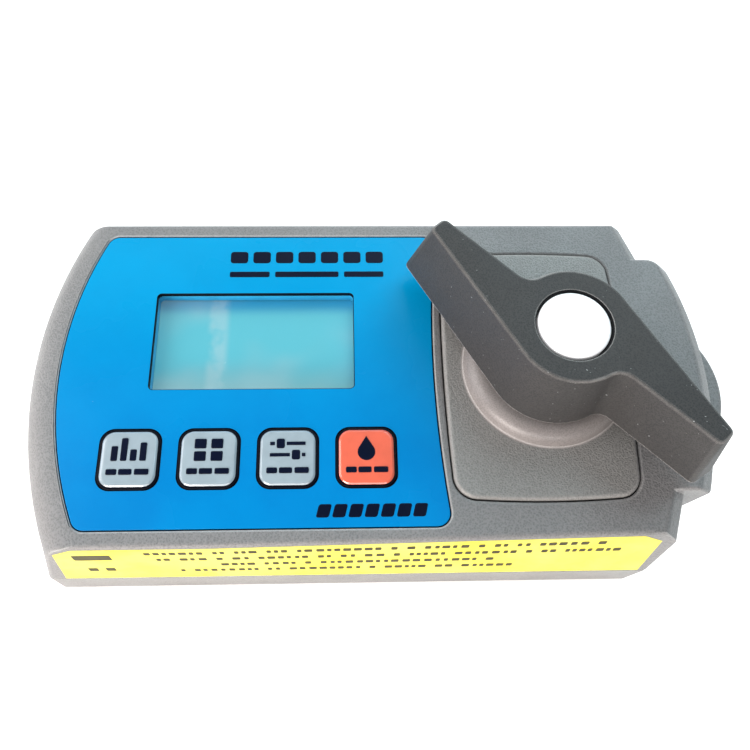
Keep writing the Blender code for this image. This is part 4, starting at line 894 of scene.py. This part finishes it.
def printed(name, shapes, paint, body, place=on_top, stand=INK_STAND):
    """Thin closed patches of ink, each from an outline laid on a surface by place."""
    skin = Skin()
    for outline in shapes:
        loops = []
        for height in (INK_ROOT, stand):
            loops.append([skin.mesh.verts.new(place(p.x, p.y, height)) for p in outline])
        skin.climb(loops)
        for loop in loops:
            skin.mesh.faces.new(loop)
    skin.done(name, [paint], body)


def slanted(outline, slant):
    base = min(p.y for p in outline)
    return [Vector((p.x + (p.y - base) * slant, p.y)) for p in outline]


def make_title_bars():
    """Plain blocks where a real one carries its name and type, so that nothing can be read."""
    left, right = TITLE_X
    title = []
    for row_y, tall, gap, widths in TITLE_ROWS:
        unit = (right - left - gap * (len(widths) - 1)) / sum(widths)
        x = left
        for wide in widths:
            centre = Vector((x + wide * unit / 2, row_y))
            title.append(rectangle(centre, (wide * unit, tall), tall * 0.22, 3))
            x += wide * unit + gap
    printed("title_bars", title, PRINT, "case")
    spots = [PRESS + Vector((TYPE_START[0] + n * TYPE_PITCH, TYPE_START[1])) for n in range(7)]
    bars = [slanted(rectangle(spot, TYPE_SIZE, 0.0005, 3), TYPE_SLANT) for spot in spots]
    printed("type_bars", bars, PRINT, "case")


def slider_boxes():
    boxes = []
    for y, knob in ((0.0024, -0.0012), (0.0004, 0.0014)):
        boxes.append((knob, y, 0.0014, 0.0017, 0.0004, 3))
        for low, high in ((-0.0030, knob - 0.0010), (knob + 0.0010, 0.0030)):
            boxes.append(((low + high) / 2, y, high - low, 0.0006, 0.0001, 2))
    return boxes


# Boxes of (x, y, width, height, corner radius, corner steps) round a key's centre, before PICTURE
MEAN_BARS = (
    (-0.0024, 0.0009, 0.0026), (-0.0008, 0.0016, 0.0040), (0.0008, 0.0006, 0.0020), (0.0024, 0.0012, 0.0032),
)
PICTURE_BOXES = {
    1: [(x, y, 0.0011, tall, 0.0003, 3) for x, y, tall in MEAN_BARS],
    2: [(x, y, 0.0020, 0.0017, 0.0003, 3) for x in (-0.0014, 0.0014) for y in (0.0025, 0.0003)],
    3: slider_boxes(),
}
LEGEND_BLOCKS = ((-0.0026, 0.0018), (-0.0003, 0.0022), (0.0024, 0.0024))
LEGEND_BOXES = [(x, -0.0023, wide, 0.0010, 0.0003, 3) for x, wide in LEGEND_BLOCKS]


def drop_outline(spot):
    """A pointed drop round a key's centre."""
    tip, centre = spot + Vector((0.0, 0.0036)) * PICTURE, spot + Vector((0.0, 0.0008)) * PICTURE
    return [tip] + arc(centre, 0.0015 * PICTURE, math.radians(150), math.radians(390), 16)


def key_picture(n, spot):
    """A plain pictogram for each key, mean, list, slider and drop, over a row of blocks."""
    shapes = [] if n in PICTURE_BOXES else [drop_outline(spot)]
    for x, y, wide, tall, corner, steps in PICTURE_BOXES.get(n, []) + LEGEND_BOXES:
        centre = spot + Vector((x, y)) * PICTURE
        shapes.append(rectangle(centre, (wide * PICTURE, tall * PICTURE), corner, steps))
    printed(f"key_{n}_print", shapes, PRINT, f"key_{n}", on_key)


# Rows of the label's strokes: (height, start, end), the last two measured in from the margins
LABEL_MARGINS = (0.020, 0.008)
LABEL_ROWS = ((0.0342, 0.0, 0.004), (0.0305, 0.002, 0.0), (0.0268, 0.016, 0.030), (0.0231, 0.006, 0.024))
STROKE_HEIGHT, STROKE_ROUND = 0.0015, 0.0003
STROKE_WIDTHS, STROKE_GAPS = (0.0010, 0.0014, 0.0018), (0.0006, 0.0006, 0.0009, 0.0022)


def make_label_lines():
    """Rows of short strokes that stand for small print without saying anything."""
    rng = random.Random(7)
    left = PRESS_X + LABEL_LEFT + LABEL_MARGINS[0]
    right = PRESS_X + LABEL_RIGHT - LABEL_MARGINS[1]
    mark_x = left - 0.0120
    shapes = [rectangle(Vector((mark_x, 0.0322)), (0.0085, 0.0030), 0.0004, 3)]
    for aside in (-0.0020, 0.0020):
        shapes.append(rectangle(Vector((mark_x + aside, 0.0245)), (0.0022, 0.0020), 0.0003, 3))
    for z, start, end in LABEL_ROWS:
        x = left + start
        while x < right - end:
            wide = rng.choice(STROKE_WIDTHS)
            centre = Vector((x + wide / 2, z))
            shapes.append(rectangle(centre, (wide, STROKE_HEIGHT), STROKE_ROUND, 2))
            x += wide + rng.choice(STROKE_GAPS)
    printed("label_lines", shapes, FAINT, "case", on_face, LABEL_INK_STAND)


# ---------------------------------------------------------------- carried-over CAD nodes


NODE_SURFACES = {
    "bottom_shell": LOWER, "battery_door": CASE, "display_window": PANE, "display_panel": LCD,
    "display_holder": BLACK, "main_board": BOARD, "buzzer": BLACK, "key_switch": BLACK,
    "key_stem": INSULATOR, "tray_guide": BLACK, "electrode_lead": BLACK, "temperature_probe": BLACK,
    "electrode_insulator": INSULATOR, "plunger_insulator": INSULATOR, "spindle_nut": BRASS,
    "lower_electrode": BRASS, "foot": RUBBER, "battery_contact": STEEL, "battery": CELL,
}


def surface_for(name):
    """The material of the first entry that a node's name starts with; the rest is steel."""
    for start, paint in NODE_SURFACES.items():
        if name.startswith(start):
            return paint
    return STEEL


def dress_cad_nodes():
    """Gives each CAD node that no skin replaces its material and smooth shading between sharp edges."""
    for name, node in frame["nodes"].items():
        if node.hide_render:
            continue
        node.data.materials.clear()
        node.data.materials.append(surface_for(name))
        for face in node.data.polygons:
            face.use_smooth = True
            face.material_index = 0
        weld = node.modifiers.new("weld", "WELD")
        weld.merge_threshold = 0.000002
        split = node.modifiers.new("sharp_edges", "EDGE_SPLIT")
        split.split_angle = math.radians(32)


# ---------------------------------------------------------------- stage


FLOOR_FRONT, FLOOR_BEND, FLOOR_SWEEP, FLOOR_TOP, FLOOR_HALF = -1.2, 0.9, 0.5, 2.0, 1.6
LIGHTS = (
    ("rear_sky", (0.0, 0.75, 0.60), (1.0, 0.5), 2.4, (0.72, 0.93, 1.0)),
    ("rear_right_sky", (0.42, 0.50, 0.72), (0.6, 0.6), 4.1, (0.66, 0.92, 1.0)),
    ("left_window", (-0.45, 0.05, 0.30), (0.30, 0.50), 1.7, (1.0, 0.98, 0.98)),
    ("front_fill", (-0.42, -0.60, 0.20), (0.5, 0.3), 5.4, (1.0, 0.90, 0.84)),
    ("key_glint", (-0.05, -0.48, 0.24), (0.7, 0.10), 1.0, (1.0, 0.98, 0.96)),
)
LIGHT_TARGET = Vector((0.0, 0.0, 0.03))
SKY_ON_SURFACES, SKY_IN_VIEW = 0.27, 1.10
CAMERA_YAW, CAMERA_PITCH, CAMERA_ROLL = math.radians(-4.37), math.radians(69.18), math.radians(3.63)
CAMERA_PLACE = Vector((PRESS_X - 0.0487, -0.0649, TOP_Z + 0.1477))
SENSOR_MM, LENS_MM, CAMERA_SHIFT = 36.0, 32.1072, (0.016853, 0.039573)


def make_stage():
    """A floor that sweeps up behind the part."""
    skin = Skin()
    turns = [math.pi / 2 * n / 10 for n in range(1, 11)]
    rows = [(FLOOR_FRONT, 0.0), (FLOOR_BEND, 0.0)]
    rows += [(FLOOR_BEND + FLOOR_SWEEP * math.sin(t), FLOOR_SWEEP * (1 - math.cos(t))) for t in turns]
    rows.append((FLOOR_BEND + FLOOR_SWEEP, FLOOR_TOP))
    lines = [[skin.mesh.verts.new((x, y, z)) for x in (-FLOOR_HALF, FLOOR_HALF)] for y, z in rows]
    for low, high in zip(lines, lines[1:]):
        skin.mesh.faces.new((low[0], low[1], high[1], high[0]))
    bmesh.ops.recalc_face_normals(skin.mesh, faces=skin.mesh.faces)
    data = bpy.data.meshes.new("floor")
    skin.mesh.to_mesh(data)
    skin.mesh.free()
    data.shade_smooth()
    g = Graph("floor")
    tone = g.mix(g.noise(3.0, 3.0), (0.93, 0.93, 0.93), (0.96, 0.96, 0.96))
    data.materials.append(g.finish(
        Base_Color=tone, Roughness=0.9, Emission_Color=(1.0, 0.965, 0.93), Emission_Strength=0.50,
    ))
    floor = bpy.data.objects.new("floor", data)
    bpy.context.scene.collection.objects.link(floor)


def add_light(name, place, size, power, colour):
    lamp = bpy.data.lights.new(name, "AREA")
    lamp.shape = "RECTANGLE"
    lamp.size, lamp.size_y = size
    lamp.energy = power
    lamp.color = colour
    made = bpy.data.objects.new(name, lamp)
    made.location = place
    made.rotation_euler = (LIGHT_TARGET - Vector(place)).to_track_quat("-Z", "Y").to_euler()
    bpy.context.scene.collection.objects.link(made)


def make_sky():
    """A pale sky that is dimmer as a light than as a background."""
    world = bpy.data.worlds.new("studio")
    world.use_nodes = True
    nodes, links = world.node_tree.nodes, world.node_tree.links
    sky = nodes["Background"]
    sky.inputs["Color"].default_value = (0.93, 0.96, 1.0, 1.0)
    share = nodes.new("ShaderNodeMapRange")
    share.inputs["To Min"].default_value = SKY_ON_SURFACES
    share.inputs["To Max"].default_value = SKY_IN_VIEW
    links.new(nodes.new("ShaderNodeLightPath").outputs["Is Camera Ray"], share.inputs["Value"])
    links.new(share.outputs[0], sky.inputs["Strength"])
    bpy.context.scene.world = world


def make_camera():
    """A steep view from the front; the shift puts the part off the middle of the picture."""
    cp, sp = math.cos(CAMERA_PITCH), math.sin(CAMERA_PITCH)
    cr, sr = math.cos(CAMERA_ROLL), math.sin(CAMERA_ROLL)
    level = Matrix(((1, 0, 0), (0, 0, -1), (0, 1, 0))) @ Matrix.Rotation(-CAMERA_YAW, 3, "Z")
    tilted = Matrix(((1, 0, 0), (0, cp, -sp), (0, sp, cp))) @ level
    right, down, forward = Matrix(((cr, -sr, 0), (sr, cr, 0), (0, 0, 1))) @ tilted
    data = bpy.data.cameras.new("camera")
    data.sensor_width = SENSOR_MM
    data.lens = LENS_MM
    data.shift_x, data.shift_y = CAMERA_SHIFT
    data.clip_start = 0.01
    camera = bpy.data.objects.new("camera", data)
    turned = Matrix((right, -down, -forward)).transposed().to_4x4()
    camera.matrix_world = Matrix.Translation(CAMERA_PLACE) @ turned
    bpy.context.scene.collection.objects.link(camera)
    bpy.context.scene.camera = camera


make_top_shell()
make_label()
make_overlay()
make_cover()
make_handle()
make_cap()
for number, key_spot in enumerate(KEYS, start=1):
    make_key(number, key_spot)
    key_picture(number, key_spot)
make_grip()
make_title_bars()
make_label_lines()
dress_cad_nodes()
make_stage()
for light in LIGHTS:
    add_light(*light)
make_sky()
make_camera()
bpy.context.scene.view_settings.view_transform = "Standard"
